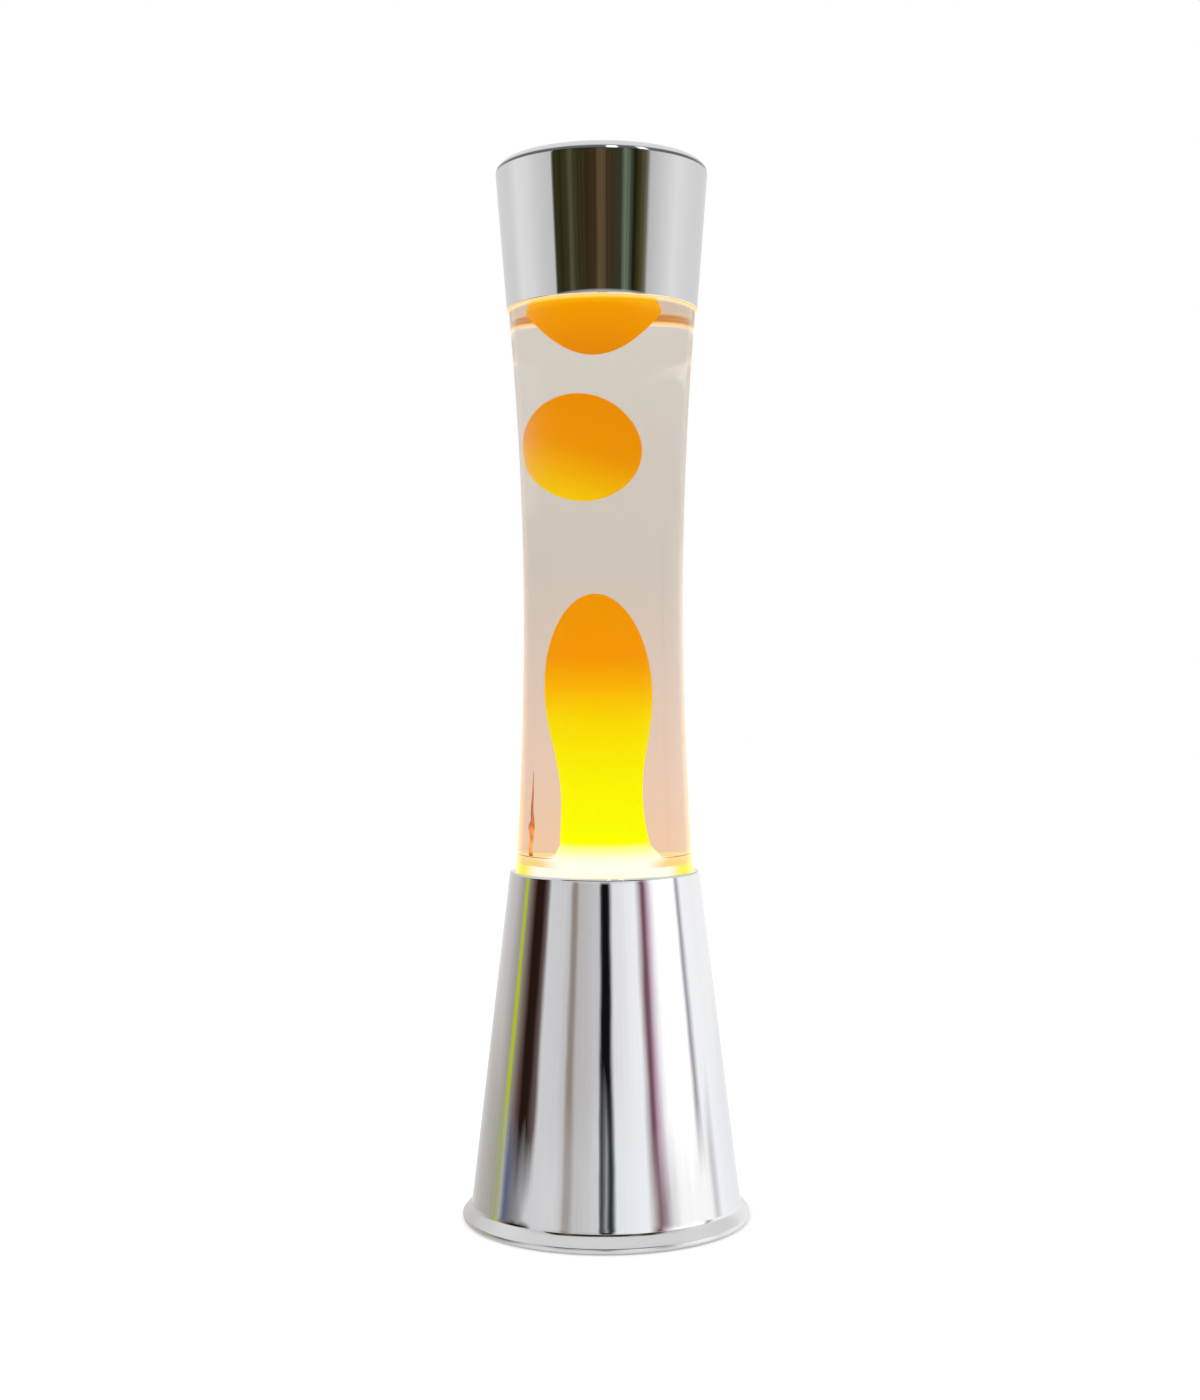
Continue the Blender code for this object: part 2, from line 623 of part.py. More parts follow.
def glass_bottle(parent, looks):
    foot = rounded([
        (0, 0.0020, 0), (0.0215, 0.0014, 0.0010), (0.0240, 0, 0.0010),
        (bottle_radius(HEEL_Z), 0, 0.0050), (bottle_radius(HEEL_Z), HEEL_Z, 0),
    ])[:-1]
    shoulder = rounded([
        (bottle_radius(SHOULDER_Z - 0.004), SHOULDER_Z - 0.004, 0),
        (SHOULDER_R, LEDGE_Z, 0.0008),
        (LEDGE_R, LEDGE_Z, 0),
        (LEDGE_R, 0.2380, 0.0110),
        (NECK_R, 0.2475, 0.0050),
        (NECK_R, 0.2620, 0),
        (0.0132, 0.2630, 0),
        (0.0132, MOUTH_Z, 0.0012),
        (MOUTH_R, MOUTH_Z, 0.0008),
        (MOUTH_R, 0.2490, 0.0050),
        (LEDGE_R - WALL, 0.2360, 0.0100),
        (LEDGE_R - WALL, 0.2240, 0),
    ])[1:]
    heel = rounded([
        (bottle_radius(0.016) - WALL, 0.0160, 0), (HEEL_R - WALL, FLOOR_Z, 0.0045), (0, FLOOR_Z, 0),
    ])[1:]
    outer = wall_points(HEEL_Z, SHOULDER_Z - 0.004, 0, 7)
    inner = wall_points(0.0160, SHOULDER_Z - 0.0002, WALL, 7)[::-1]
    outline = foot + outer + shoulder + inner + heel
    turned("glass_bottle", outline, looks["glass"], parent, LARGE)


def bottle_closure(parent, looks):
    """The crimped crown on the bottle's mouth, and the seal pressed inside it."""
    seal_low, seal = MOUTH_Z + GAP, 0.0009
    disc = [(0, seal_low), (0.0126, seal_low), (0.0126, seal_low + seal), (0, seal_low + seal)]
    turned("crown_seal", disc, looks["silicone"], parent, SMALL)

    roof, metal, skirt = seal_low + seal + GAP, 0.0004, 0.0064
    path = rounded([
        (0, roof + metal, 0), (0.0137, roof + metal, 0.0022), (CROWN_R, roof - 0.0030, 0),
        (CROWN_R + 0.0004, roof + metal - skirt, 0),
    ])

    def flutes(radius, angle, z):
        share = min(1.0, max(0.0, (roof - 0.0014 - z) / 0.003))
        return radius + 0.00065 * share * math.sin(CROWN_FLUTES * angle)

    crown = thickened(path, metal)
    turned("crown_cap", crown, looks["nickel"], parent, 2 * CROWN_FLUTES, reshape=flutes)


def wax_radius(z):
    """The wax column: a flare out of the pool, a neck, a belly and a rounded top."""
    if z < WAX_NECK_Z:
        return WAX_NECK_R + WAX_FLARE * (WAX_NECK_Z - z) ** 2
    if z < WAX_BELLY_Z:
        swing = math.cos(math.pi * (z - WAX_NECK_Z) / (WAX_BELLY_Z - WAX_NECK_Z))
        return (WAX_BELLY_R + WAX_NECK_R) / 2 - (WAX_BELLY_R - WAX_NECK_R) / 2 * swing
    share = (z - WAX_BELLY_Z) / (WAX_TOP_Z - WAX_BELLY_Z)
    return WAX_BELLY_R * math.sqrt(max(0.0, 1 - share**2))


def wax_lean(z):
    """How far the column's axis stands off the bottle's, which grows above the pool."""
    share = min(1.0, max(0.0, (z - POOL_Z) / 0.020))
    return WAX_LEAN * share * share * (3 - 2 * share)


def column_path():
    """The wax's side from the pool's surface, through a fillet, up to the column's top."""
    root_z, cap = POOL_Z + 0.0035, WAX_TOP_Z - WAX_BELLY_Z
    root = rounded([
        (WAX_NECK_R * 2, POOL_Z, 0),
        (wax_radius(POOL_Z) + 0.0012, POOL_Z, 0.0018),
        (wax_radius(root_z), root_z, 0),
    ])[1:-1]
    heights = [root_z + (WAX_BELLY_Z - root_z) * i / 7 for i in range(7)]
    heights += [WAX_BELLY_Z + cap * math.sin(math.pi / 2 * i / 5) for i in range(5)]
    return root + [Vector((wax_radius(z), z)) for z in heights] + [Vector((0, WAX_TOP_Z))]


def wax(parent, looks):
    """The pool with its column, with a ring groove over the coil on the bottle's floor."""
    low, groove_z = FLOOR_Z + GAP, FLOOR_Z + GAP + 0.0062
    pool_r = bottle_radius(POOL_Z) - WALL - GAP
    pool = rounded([
        (0, low, 0),
        (COIL_RING_R - 0.0040, low, 0), (COIL_RING_R - 0.0040, groove_z, 0),
        (COIL_RING_R + 0.0040, groove_z, 0), (COIL_RING_R + 0.0040, low, 0),
        (HEEL_R - WALL - GAP, low, 0.0045),
        (pool_r, POOL_Z, 0),
    ])
    mesh = turned_mesh("wax_column", pool + column_path(), lean=wax_lean)
    link("wax_column", mesh, looks["wax"], parent)

    points = []
    per_turn = 5
    for i in range(COIL_TURNS * per_turn):
        around = 2 * math.pi * i / (COIL_TURNS * per_turn)
        wind = 2 * math.pi * i / per_turn
        reach = COIL_RING_R + COIL_R * math.cos(wind)
        height = low + COIL_R + COIL_WIRE_R + COIL_R * math.sin(wind)
        points.append((reach * math.cos(around), reach * math.sin(around), height))
    wire_object("wax_coil", points, COIL_WIRE_R, looks["steel"], parent, cyclic=True)


def top_blob_path():
    """A drop that hangs from the liquid's surface: a bowl, its widest ring, and a top that
    draws in to the surface. Heights above its lowest point."""
    rise = LIQUID_Z - TOP_BLOB_AT[2]
    shares = (0.07, 0.2, 0.4, 0.65, 0.9)
    bowl = [(TOP_BLOB_R * math.sqrt(share), TOP_BLOB_BELLY * share) for share in shares]
    top = [(TOP_BLOB_R, TOP_BLOB_BELLY), (TOP_BLOB_WAIST_R, TOP_BLOB_WAIST), (TOP_BLOB_TOP_R, rise)]
    dome = (0, rise + 0.0018)
    return [Vector(point) for point in [(0, 0), *bowl, *top, dome]]


def liquid_and_blobs(bottle, looks):
    radii = [radius + GAP for radius in BLOB_RADII]
    link("wax_blob", ellipsoid_mesh("wax_blob", BLOB_RADII), looks["wax"], bottle, at=BLOB_AT)
    turned("wax_top_blob", top_blob_path(), looks["wax"], bottle, at=TOP_BLOB_AT)

    low = POOL_Z + GAP
    sides = wall_points(low, SHOULDER_Z - 0.003, WALL + GAP, 7)
    neck_r, shrink, bend = LEDGE_R - WALL - GAP, 0.0010, 0.0035
    outline = [(0, low), *sides, (neck_r, LEDGE_Z + 0.0021), (neck_r, LIQUID_Z - bend),
               (neck_r - shrink, LIQUID_Z), (0, LIQUID_Z)]
    liquid = turned("liquid", outline, looks["liquid"], bottle, LARGE)

    column = offset(column_path(), GAP)
    column = [Vector((0, low - 0.002)), Vector((column[0].x, low - 0.002))] + column
    column = turned_mesh("column_space", column, lean=wax_lean)
    blob = ellipsoid_mesh("blob_space", radii)
    top_blob = turned_mesh("top_blob_space", offset(top_blob_path(), GAP))
    thread = bar_mesh("thread_space", 0.0400, 0.0005, 6)
    cut(liquid, [
        (column, Matrix()),
        (blob, Matrix.Translation(BLOB_AT)),
        (top_blob, Matrix.Translation(TOP_BLOB_AT)),
        (thread, Matrix.Translation((-0.0040, 0, WAX_TOP_Z - 0.0040))),
    ])


# ---- cap ----------------------------------------------------------------------------
def cap(parent, looks):
    """Heights above the cap's rim. Its wall widens upwards to a rounded shoulder."""
    path = rounded([
        (0, CAP_HEIGHT, 0),
        (CAP_CROWN_R, CAP_HEIGHT - CAP_CROWN, 0),
        (CAP_TOP_R, CAP_SHOULDER_Z, CAP_FILLET),
        (CAP_RIM_R, 0, 0),
    ])
    turned("cap_shell", thickened(path, CAP_THICK), looks["chrome"], parent, LARGE)

    low, high, inset, bore = 0.0405, 0.0470, CAP_THICK + 2 * GAP, CROWN_R + 0.0014
    wall = (CAP_TOP_R - CAP_RIM_R) / CAP_SHOULDER_Z
    ring = [
        (bore, low), (CAP_RIM_R + wall * low - inset, low),
        (CAP_RIM_R + wall * high - inset, high), (bore, high),
    ]
    turned("cap_foam_ring", ring, looks["foam"], parent)


def main():
    for old in list(bpy.data.objects):
        bpy.data.objects.remove(old)
    looks = make_looks()
    base = assembly("base", 0.0)
    base_shell(base, looks)
    cord_gland(base, looks)
    bottle_seat(base, looks)
    bottom_cover(base, looks)
    cover_fixings(base, looks)
    lampholder(assembly("holder", PEDESTAL_TOP, base), looks)
    bulb(assembly("bulb", BULB_Z, base), looks)
    bottle = assembly("bottle", BOTTLE_Z, base)
    glass_bottle(bottle, looks)
    bottle_closure(bottle, looks)
    wax(bottle, looks)
    liquid_and_blobs(bottle, looks)
    cap(assembly("cap", CAP_Z - BOTTLE_Z, bottle), looks)


main()
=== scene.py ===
"""The looks of the lava lamp: fine surfaces for its chrome, glass, liquid and wax, and for
the base's inside and underside, with procedural materials, in a plain white studio.

Metres, in the frame of the CAD model: +Z up, and the camera looks along +Y.
"""

import json
import math

import bmesh
import bpy
from mathutils import Matrix, Vector


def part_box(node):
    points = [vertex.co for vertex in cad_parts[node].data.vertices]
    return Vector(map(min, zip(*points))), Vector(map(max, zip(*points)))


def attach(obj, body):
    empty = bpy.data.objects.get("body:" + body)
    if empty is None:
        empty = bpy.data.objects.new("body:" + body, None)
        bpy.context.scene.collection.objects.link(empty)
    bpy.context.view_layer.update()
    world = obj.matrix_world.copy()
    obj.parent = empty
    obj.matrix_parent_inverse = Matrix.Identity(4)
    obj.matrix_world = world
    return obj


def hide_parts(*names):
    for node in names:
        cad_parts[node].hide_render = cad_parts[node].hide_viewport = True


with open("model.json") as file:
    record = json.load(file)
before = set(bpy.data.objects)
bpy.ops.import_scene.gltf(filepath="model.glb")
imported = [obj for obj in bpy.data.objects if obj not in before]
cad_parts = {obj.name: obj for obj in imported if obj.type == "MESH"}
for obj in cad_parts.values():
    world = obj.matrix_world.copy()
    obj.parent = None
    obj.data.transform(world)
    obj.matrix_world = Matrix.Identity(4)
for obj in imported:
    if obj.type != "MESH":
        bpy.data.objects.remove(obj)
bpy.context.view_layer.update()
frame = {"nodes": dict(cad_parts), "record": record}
collection = bpy.context.scene.collection
behaviour = frame["record"]["behaviour"]
body_of = {node: body for body, nodes in behaviour["bodies"].items() for node in nodes}
slot_of = {part["node"]: part["material_slot"] for part in frame["record"]["subparts"]}


# ---- shape tools ----
def widest(node):
    """The largest distance of a CAD node's corners from the Z axis."""
    return max(math.hypot(v.co.x, v.co.y) for v in frame["nodes"][node].data.vertices)


def rounded(corners, step=math.radians(9)):
    """The points of a path of (radius, height, fillet) corners, each fillet as an arc."""
    points = []
    for i, (r, z, fillet) in enumerate(corners):
        here = Vector((r, z))
        if not fillet:
            points.append(here)
            continue
        back = (Vector(corners[i - 1][:2]) - here).normalized()
        on = (Vector(corners[(i + 1) % len(corners)][:2]) - here).normalized()
        half = back.angle(on) / 2
        centre = here + (back + on).normalized() * fillet / math.sin(half)
        reach = fillet / math.tan(half)
        start = here + back * reach - centre
        turn = (here + on * reach - centre).angle_signed(start)
        count = max(2, math.ceil(abs(turn) / step))
        points += [centre + Matrix.Rotation(turn * k / count, 2) @ start for k in range(count + 1)]
    return points


def offset(path, distance):
    """The path moved to its right-hand side, with a point on the axis kept on it."""
    moved = []
    for i, here in enumerate(path):
        ahead = path[min(i + 1, len(path) - 1)] - path[max(i - 1, 0)]
        side = Vector((ahead.y, -ahead.x)).normalized() * distance
        moved.append(Vector((0.0 if here.x < 1e-6 else here.x + side.x, here.y + side.y)))
    return moved


def thickened(path, thickness):
    return path + offset(path, thickness)[::-1]


def refined(outline, longest):
    """The closed outline with points added along its stretches longer than that."""
    points = []
    for here, there in zip(outline, outline[1:] + outline[:1]):
        points.append(here)
        on_axis = max(here.x, there.x) < 1e-6
        pieces = 1 if on_axis else math.ceil((there - here).length / longest)
        points += [here.lerp(there, k / pieces) for k in range(1, pieces)]
    return points


def polar(r, angle, z, shift=0.0):
    """A point by its distance from the Z axis, its angle and its height, moved along X."""
    return r * math.cos(angle) + shift, r * math.sin(angle), z


def mesh_of(shape, name, sharp=40):
    bmesh.ops.remove_doubles(shape, verts=shape.verts, dist=1e-7)
    bmesh.ops.recalc_face_normals(shape, faces=shape.faces)
    mesh = bpy.data.meshes.new(name)
    shape.to_mesh(mesh)
    shape.free()
    mesh.shade_smooth()
    mesh.set_sharp_from_angle(angle=math.radians(sharp))
    return mesh


def turned_mesh(name, outline, sides=96, longest=0.002, reshape=polar):
    """A closed outline of (radius, height) points turned round Z. reshape(radius, angle,
    height) gives a point's (x, y, z)."""
    outline = [Vector(point) for point in outline]
    if longest:
        outline = refined(outline, longest)
    shape = bmesh.new()
    rings = []
    for r, z in outline:
        ring = []
        for k in range(1 if r < 1e-6 else sides):
            angle = 2 * math.pi * k / sides
            ring.append(shape.verts.new(reshape(r, angle, z)))
        rings.append(ring)
    for low, high in zip(rings, rings[1:] + rings[:1]):
        if len(low) == len(high) == 1:
            continue
        for k in range(sides):
            a, b = low[k % len(low)], low[(k + 1) % len(low)]
            c, d = high[(k + 1) % len(high)], high[k % len(high)]
            shape.faces.new(list(dict.fromkeys((a, b, c, d))))
    return mesh_of(shape, name)


def new_object(name, data, material=None, matrix=None):
    made = bpy.data.objects.new(name, data)
    collection.objects.link(made)
    if material:
        made.data.materials.clear()
        made.data.materials.append(material)
    if matrix is not None:
        made.matrix_world = matrix
    return made


def stands_for(made, node):
    """The piece takes a CAD node's place, on that node's body."""
    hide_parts(node)
    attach(made, body_of[node])
    return made


def piece(node, mesh, material=None, matrix=None):
    return stands_for(new_object(f"{node}_fine", mesh, material, matrix), node)


def turned_piece(node, outline, material, sides=96, longest=0.002, reshape=polar):
    return piece(node, turned_mesh(node, outline, sides, longest, reshape), materials[material])


def bar_mesh(name, length, radius, sides=32):
    outline = [(0, 0), (radius, 0), (radius, length), (0, length)]
    return turned_mesh(name, outline, sides, longest=None)


def prism_mesh(name, points, depth):
    """A plan of (x, y) points made solid from 0 up to depth."""
    shape = bmesh.new()
    face = shape.faces.new([shape.verts.new((x, y, 0)) for x, y in points])
    grown = bmesh.ops.extrude_face_region(shape, geom=[face])
    raised = [item for item in grown["geom"] if isinstance(item, bmesh.types.BMVert)]
    bmesh.ops.translate(shape, verts=raised, vec=(0, 0, depth))
    return mesh_of(shape, name)


def round_z(degrees, radius=0.0, z=0.0):
    return Matrix.Rotation(math.radians(degrees), 4, "Z") @ Matrix.Translation((radius, 0, z))


def cut_mesh(mesh, cutters, name, sharp=35):
    """The mesh with each cutter, a (mesh, place) pair, taken from it."""
    body = new_object(name, mesh)
    tools = []
    for cutter, place in cutters:
        tool = new_object(f"{name}_tool", cutter, matrix=place)
        tools.append(tool)
        opening = body.modifiers.new("opening", "BOOLEAN")
        opening.operation = "DIFFERENCE"
        opening.object = tool
    bpy.context.view_layer.update()
    graph = bpy.context.evaluated_depsgraph_get()
    result = bpy.data.meshes.new_from_object(body.evaluated_get(graph))
    for gone in [body, *tools]:
        bpy.data.objects.remove(gone)
    result.shade_smooth()
    result.set_sharp_from_angle(angle=math.radians(sharp))
    return result


def smoothstep(share):
    share = min(1.0, max(0.0, share))
    return share * share * (3 - 2 * share)


# ---- material tools ----
class Look:
    """A Principled material, and the few node patterns that the looks are made from."""

    def __init__(self, name, colour, roughness, **inputs):
        self.material = bpy.data.materials.new(name)
        self.material.use_nodes = True
        self.tree = self.material.node_tree
        self.shader = self.tree.nodes["Principled BSDF"]
        self.shader.inputs["Base Color"].default_value = (*colour, 1.0)
        self.shader.inputs["Roughness"].default_value = roughness
        for key, value in inputs.items():
            self.shader.inputs[key.replace("_", " ")].default_value = value

    def node(self, kind, settings=None, **inputs):
        made = self.tree.nodes.new(f"ShaderNode{kind}")
        for key, value in (settings or {}).items():
            setattr(made, key, value)
        for key, value in inputs.items():
            self.put(made.inputs[key.replace("_", " ")], value)
        return made

    def put(self, socket, value):
        """Links an output to the socket, or sets its value."""
        if isinstance(value, bpy.types.NodeSocket):
            self.tree.links.new(value, socket)
        else:
            socket.default_value = value

    def where(self, stretch=(1, 1, 1)):
        """The surface point in the object's own metres, scaled along each axis."""
        place = self.node("TexCoord")
        return self.node("Mapping", Vector=place.outputs["Object"], Scale=stretch).outputs[0]

    def height(self):
        return self.node("SeparateXYZ", Vector=self.where()).outputs[2]

    def facing_up(self):
        """The upward part of the surface's normal."""
        normal = self.node("NewGeometry").outputs["Normal"]
        return self.node("SeparateXYZ", Vector=normal).outputs[2]

    def noise(self, scale, detail=3.0, stretch=(1, 1, 1), roughness=0.5):
        made = self.node("TexNoise", Vector=self.where(stretch), Scale=scale, Detail=detail,
                         Roughness=roughness)
        return made.outputs[0]

    def math(self, operation, a, b=0.0):
        made = self.node("Math", {"operation": operation})
        self.put(made.inputs[0], a)
        self.put(made.inputs[1], b)
        return made.outputs[0]

    def times(self, a, b):
        return self.math("MULTIPLY", a, b)

    def ranged(self, value, low, high, start=0.0, end=1.0):
        """The value, from start to end, spread over low to high."""
        return self.node("MapRange", Value=value, From_Min=start, From_Max=end, To_Min=low,
                         To_Max=high).outputs[0]

    def ramp(self, value, stops):
        made = self.node("ValToRGB", Fac=value)
        ramp = made.color_ramp
        while len(ramp.elements) < len(stops):
            ramp.elements.new(0.5)
        for element, (place, colour) in zip(ramp.elements, stops):
            element.position = place
            element.color = (*colour, 1.0)
        return made.outputs["Color"]

    def mixed(self, share, a, b):
        made = self.node("Mix", {"data_type": "RGBA"})
        self.put(made.inputs[0], share)
        for socket, value in ((made.inputs[6], a), (made.inputs[7], b)):
            self.put(socket, (*value, 1.0) if isinstance(value, tuple) else value)
        return made.outputs[2]

    def bump(self, value, height):
        made = self.node("Bump", Height=value, Distance=height)
        self.put(self.shader.inputs["Normal"], made.outputs[0])

    def set(self, **inputs):
        for key, value in inputs.items():
            self.put(self.shader.inputs[key.replace("_", " ")], value)


def grey(value):
    return (value, value, value)


def srgb(red, green, blue):
    """An 8-bit sRGB colour as linear light."""
    def linear(value):
        value /= 255
        return value / 12.92 if value <= 0.04045 else ((value + 0.055) / 1.055) ** 2.4
    return linear(red), linear(green), linear(blue)


# ---- materials ----
glass_low, glass_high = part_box("glass_bottle")
LEDGE_Z = glass_low.z + 0.2217  # the bottle's step that the cap's rim hides
PLATING = (0.66, 0.66, 0.665)


def chrome_look(name, waviness, matt_below=None, painted_dark_edge=False):
    """Bright plating: fine ripple in the metal, a few dull smudges, faint pits. It is
    duller below a height, and the last flag darkens the colour on the bend between the side and the top, a
    painted dark reflection."""
    look = Look(name, PLATING, 0.03, Metallic=1.0)
    ripple = look.noise(60, detail=2.0, stretch=(1, 1, 0.25))
    pits = look.noise(900, detail=2.0)
    relief = look.math("ADD", ripple, look.times(pits, 0.02))
    look.bump(relief, waviness)
    smudge = look.ranged(look.noise(22, detail=5.0, roughness=0.65), 0.01, 0.05, 0.45, 0.75)
    if matt_below:
        height = look.height()
        matt = look.ranged(height, 0.24, 0.0, matt_below - 0.0006, matt_below + 0.0006)
        smudge = look.math("ADD", smudge, matt)
    look.set(Roughness=smudge)
    if painted_dark_edge:
        # Painted reflection: the plating's colour turns dark on the bend between side and top, as if it
        # mirrored a dark ceiling.
        up = look.facing_up()
        painted_reflection_band = look.times(look.ranged(up, 0, 1, 0.02, 0.1), look.ranged(up, 1, 0, 0.3, 0.42))
        look.set(Base_Color=look.mixed(painted_reflection_band, PLATING, (0.11, 0.12, 0.13)))
    return look.material


def cap_inside_painted_glow_look(rim_z):
    """The inside of the cap, with a painted glow: warm at the hem, where the wax's light gathers, paler
    above.
    """
    look = Look("cap_inside", (0.55, 0.42, 0.28), 0.45, Metallic=0.6)
    height = look.height()
    above = look.ranged(height, 0, 1, rim_z, rim_z + 0.008)
    # Painted light: this emission stands in for the wax's light on the inside of the cap.
    look.set(Emission_Color=look.ramp(above, [
        (0.0, (0.86, 0.42, 0.12)), (0.08, (0.9, 0.48, 0.15)), (0.12, (0.62, 0.24, 0.06)),
        (0.4, (0.72, 0.3, 0.08)), (0.46, (0.95, 0.55, 0.2)), (0.52, (0.8, 0.76, 0.7)),
        (1.0, (0.74, 0.72, 0.68)),
    ]))
    look.set(Emission_Strength=1.0)
    return look.material


def glass_look():
    look = Look("bottle_glass", (0.975, 0.972, 0.965), 0.0, IOR=1.42, Transmission_Weight=1.0)
    height = look.height()
    share = look.ranged(height, 0, 1, glass_low.z + 0.01, LEDGE_Z)
    facing = look.node("LayerWeight", Blend=0.5).outputs["Facing"]
    look.set(Specular_Tint=look.mixed(look.ranged(facing, 0, 1, 0.45, 0.85), (0.05, 0.05, 0.055), (1, 1, 1)))
    # Painted glow: the glass's edges and a thin band at the ledge emit warm light that stands in for the
    # wax's light. It is stronger near the foot and near the ledge.
    look.set(Emission_Color=look.ramp(share, [
        (0.0, (1.0, 0.74, 0.1)), (0.35, (0.95, 0.5, 0.14)), (0.7, (0.85, 0.6, 0.4)),
        (0.985, (0.9, 0.72, 0.55)), (0.99, (1.0, 0.58, 0.22)), (1.0, (1.0, 0.58, 0.22)),
    ]))
    painted_glow_strength = look.ramp(share, [
        (0.0, grey(0.6)), (0.25, grey(0.42)), (0.6, grey(0.22)), (0.75, grey(0.28)), (0.9, grey(0.48)),
        (1.0, grey(0.48)),
    ])
    edge = look.times(look.ranged(facing, 0, 1, 0.62, 0.92), painted_glow_strength)
    painted_ledge_glow = look.times(look.ranged(height, 0, 1, LEDGE_Z - 0.0011, LEDGE_Z - 0.0006),
                       look.ranged(height, 0.35, 0, LEDGE_Z + 0.0002, LEDGE_Z + 0.0005))
    look.set(Emission_Strength=look.math("ADD", edge, painted_ledge_glow))
    ripple = look.noise(35, detail=2.0, stretch=(1, 1, 0.3))
    look.bump(ripple, 0.00003)
    return look.material


def liquid_look():
    look = Look("liquid_clear", (0.9, 0.88, 0.85), 0.0, IOR=1.36, Transmission_Weight=1.0,
                Specular_Tint=(0.1, 0.1, 0.1, 1.0))
    height = look.height()
    low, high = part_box("liquid")
    share = look.ranged(height, 0, 1, low.z, high.z)
    # The liquid's own pale tint above. Lower down it turns warmer, a painted glow that stands in for the
    # wax's light scattered in the liquid.
    tint_and_painted_glow = look.ramp(share, [
        (0.0, (0.93, 0.62, 0.42)),
        (0.15, (0.86, 0.62, 0.48)),
        (0.3, (0.77, 0.6, 0.5)),
        (0.5, (0.65, 0.58, 0.51)),
        (1.0, (0.7, 0.66, 0.6)),
    ])
    look.set(Base_Color=tint_and_painted_glow)
    return look.material


def wax_look(name, stops, low, high, lean=0.0, pool_z=None):
    """Dyed wax whose light from the lamp below is painted in as emission: a painted glow that runs from hot
    at the foot to deep orange. A negative lean raises the hot end on the left. With pool_z, the painted glow
    on the pool's surface is duller beside the column and its sides are painted yellower towards their ends,
    away from the lamp's beam."""
    look = Look(name, (0.1, 0.035, 0.0), 0.5, Specular_IOR_Level=0.0)
    place = look.node("SeparateXYZ", Vector=look.where())
    height = look.math("SUBTRACT", place.outputs[2], look.times(place.outputs[0], lean))
    drift = look.ranged(look.noise(14, detail=2.0), -0.02, 0.02)
    share = look.math("ADD", look.ranged(height, 0, 1, low, high), drift)
    # Painted glow: the emission colour stands in for the lamp's light through the wax, set by height.
    glow = look.ramp(share, stops)
    if pool_z:
        aside = look.math("ABSOLUTE", look.math("ADD", place.outputs[0], 0.0007))
        in_pool = look.ranged(place.outputs[2], 1, 0, pool_z - 0.0004, pool_z + 0.0016)
        painted_end_light = look.times(look.ranged(aside, 0, 1, 0.0235, 0.0275), in_pool)
        # Painted light: yellower ends of the pool's sides, and a duller top beside the column.
        glow = look.mixed(painted_end_light, glow, PAINTED_END_YELLOW)
        facing = look.facing_up()
        top = look.times(look.ranged(facing, 0, 1, 0.8, 0.98), in_pool)
        beside = look.math("MAXIMUM", look.ranged(aside, 0, 1, 0.0155, 0.0215),
                           look.ranged(place.outputs[1], 0, 1, -0.004, 0.004))
        glow = look.mixed(look.times(top, beside), glow, PAINTED_POOL_TOP)
    look.set(Emission_Color=glow, Emission_Strength=1.0)
    return look.material


def metal_look(name, colour, roughness, grain=400, stretch=(1, 1, 1)):
    look = Look(name, colour, roughness, Metallic=1.0)
    scratches = look.noise(grain, detail=4.0, stretch=stretch)
    look.bump(scratches, 0.00002)
    look.set(Roughness=look.ranged(look.noise(60, detail=4.0), roughness * 0.75, roughness * 1.35))
    return look.material


def moulded_look(name, colour, roughness, grain, depth):
    look = Look(name, colour, roughness)
    look.bump(look.noise(grain, detail=3.0), depth)
    shade = look.noise(90, detail=4.0)
    darker = tuple(value * 0.75 for value in colour)
    look.set(Base_Color=look.mixed(look.ranged(shade, 0, 1, 0.3, 0.7), darker, colour))
    look.set(Roughness=look.ranged(shade, roughness * 0.85, roughness * 1.15, 0.3, 0.7))
    return look.material


def bulb_glass_look(face_z):
    """A mirrored neck that turns into a frosted, glowing face."""
    look = Look("bulb_frosted", (0.9, 0.88, 0.82), 0.35, IOR=1.45)
    height = look.height()
    face = look.ranged(height, 0, 1, face_z - 0.012, face_z - 0.009)
    look.set(Metallic=look.ranged(face, 1.0, 0.0))
    look.set(Emission_Color=(1.0, 0.72, 0.36, 1.0))
    look.set(Emission_Strength=look.ranged(face, 0.0, 1.6))
    look.bump(look.noise(1500, detail=2.0), 0.00001)
    return look.material


materials = {
    "cap_chrome": chrome_look("cap_chrome", 0.00004, painted_dark_edge=True),
    "base_chrome": chrome_look("base_chrome", 0.00006, matt_below=0.006),
    "cap_inside": cap_inside_painted_glow_look(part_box("cap_shell")[0].z),
    "glass": glass_look(),
    "liquid": liquid_look(),
    "nickel": metal_look("nickel_plate", (0.62, 0.58, 0.53), 0.25),
    "brass": metal_look("brass_sheet", (0.76, 0.56, 0.28), 0.28),
    "steel": metal_look("zinc_steel", (0.55, 0.56, 0.57), 0.35),
    "tungsten": metal_look("tungsten_wire", (0.25, 0.24, 0.23), 0.4),
    "clear_glass": Look("stem_glass", (0.95, 0.97, 0.96), 0.02, IOR=1.5, Transmission_Weight=1.0).material,
    "bakelite": moulded_look("black_bakelite", (0.02, 0.018, 0.017), 0.3, 300, 0.00002),
    "ceramic": moulded_look("white_ceramic", (0.8, 0.78, 0.72), 0.45, 500, 0.00002),
    "black_plastic": moulded_look("black_moulding", (0.022, 0.022, 0.023), 0.5, 1400, 0.00006),
    "rubber": moulded_look("black_rubber", (0.028, 0.028, 0.028), 0.8, 1800, 0.00005),
    "silicone": moulded_look("white_silicone", (0.72, 0.71, 0.68), 0.55, 400, 0.00002),
    "foam": moulded_look("grey_foam", (0.05, 0.05, 0.05), 0.95, 2500, 0.00015),
}


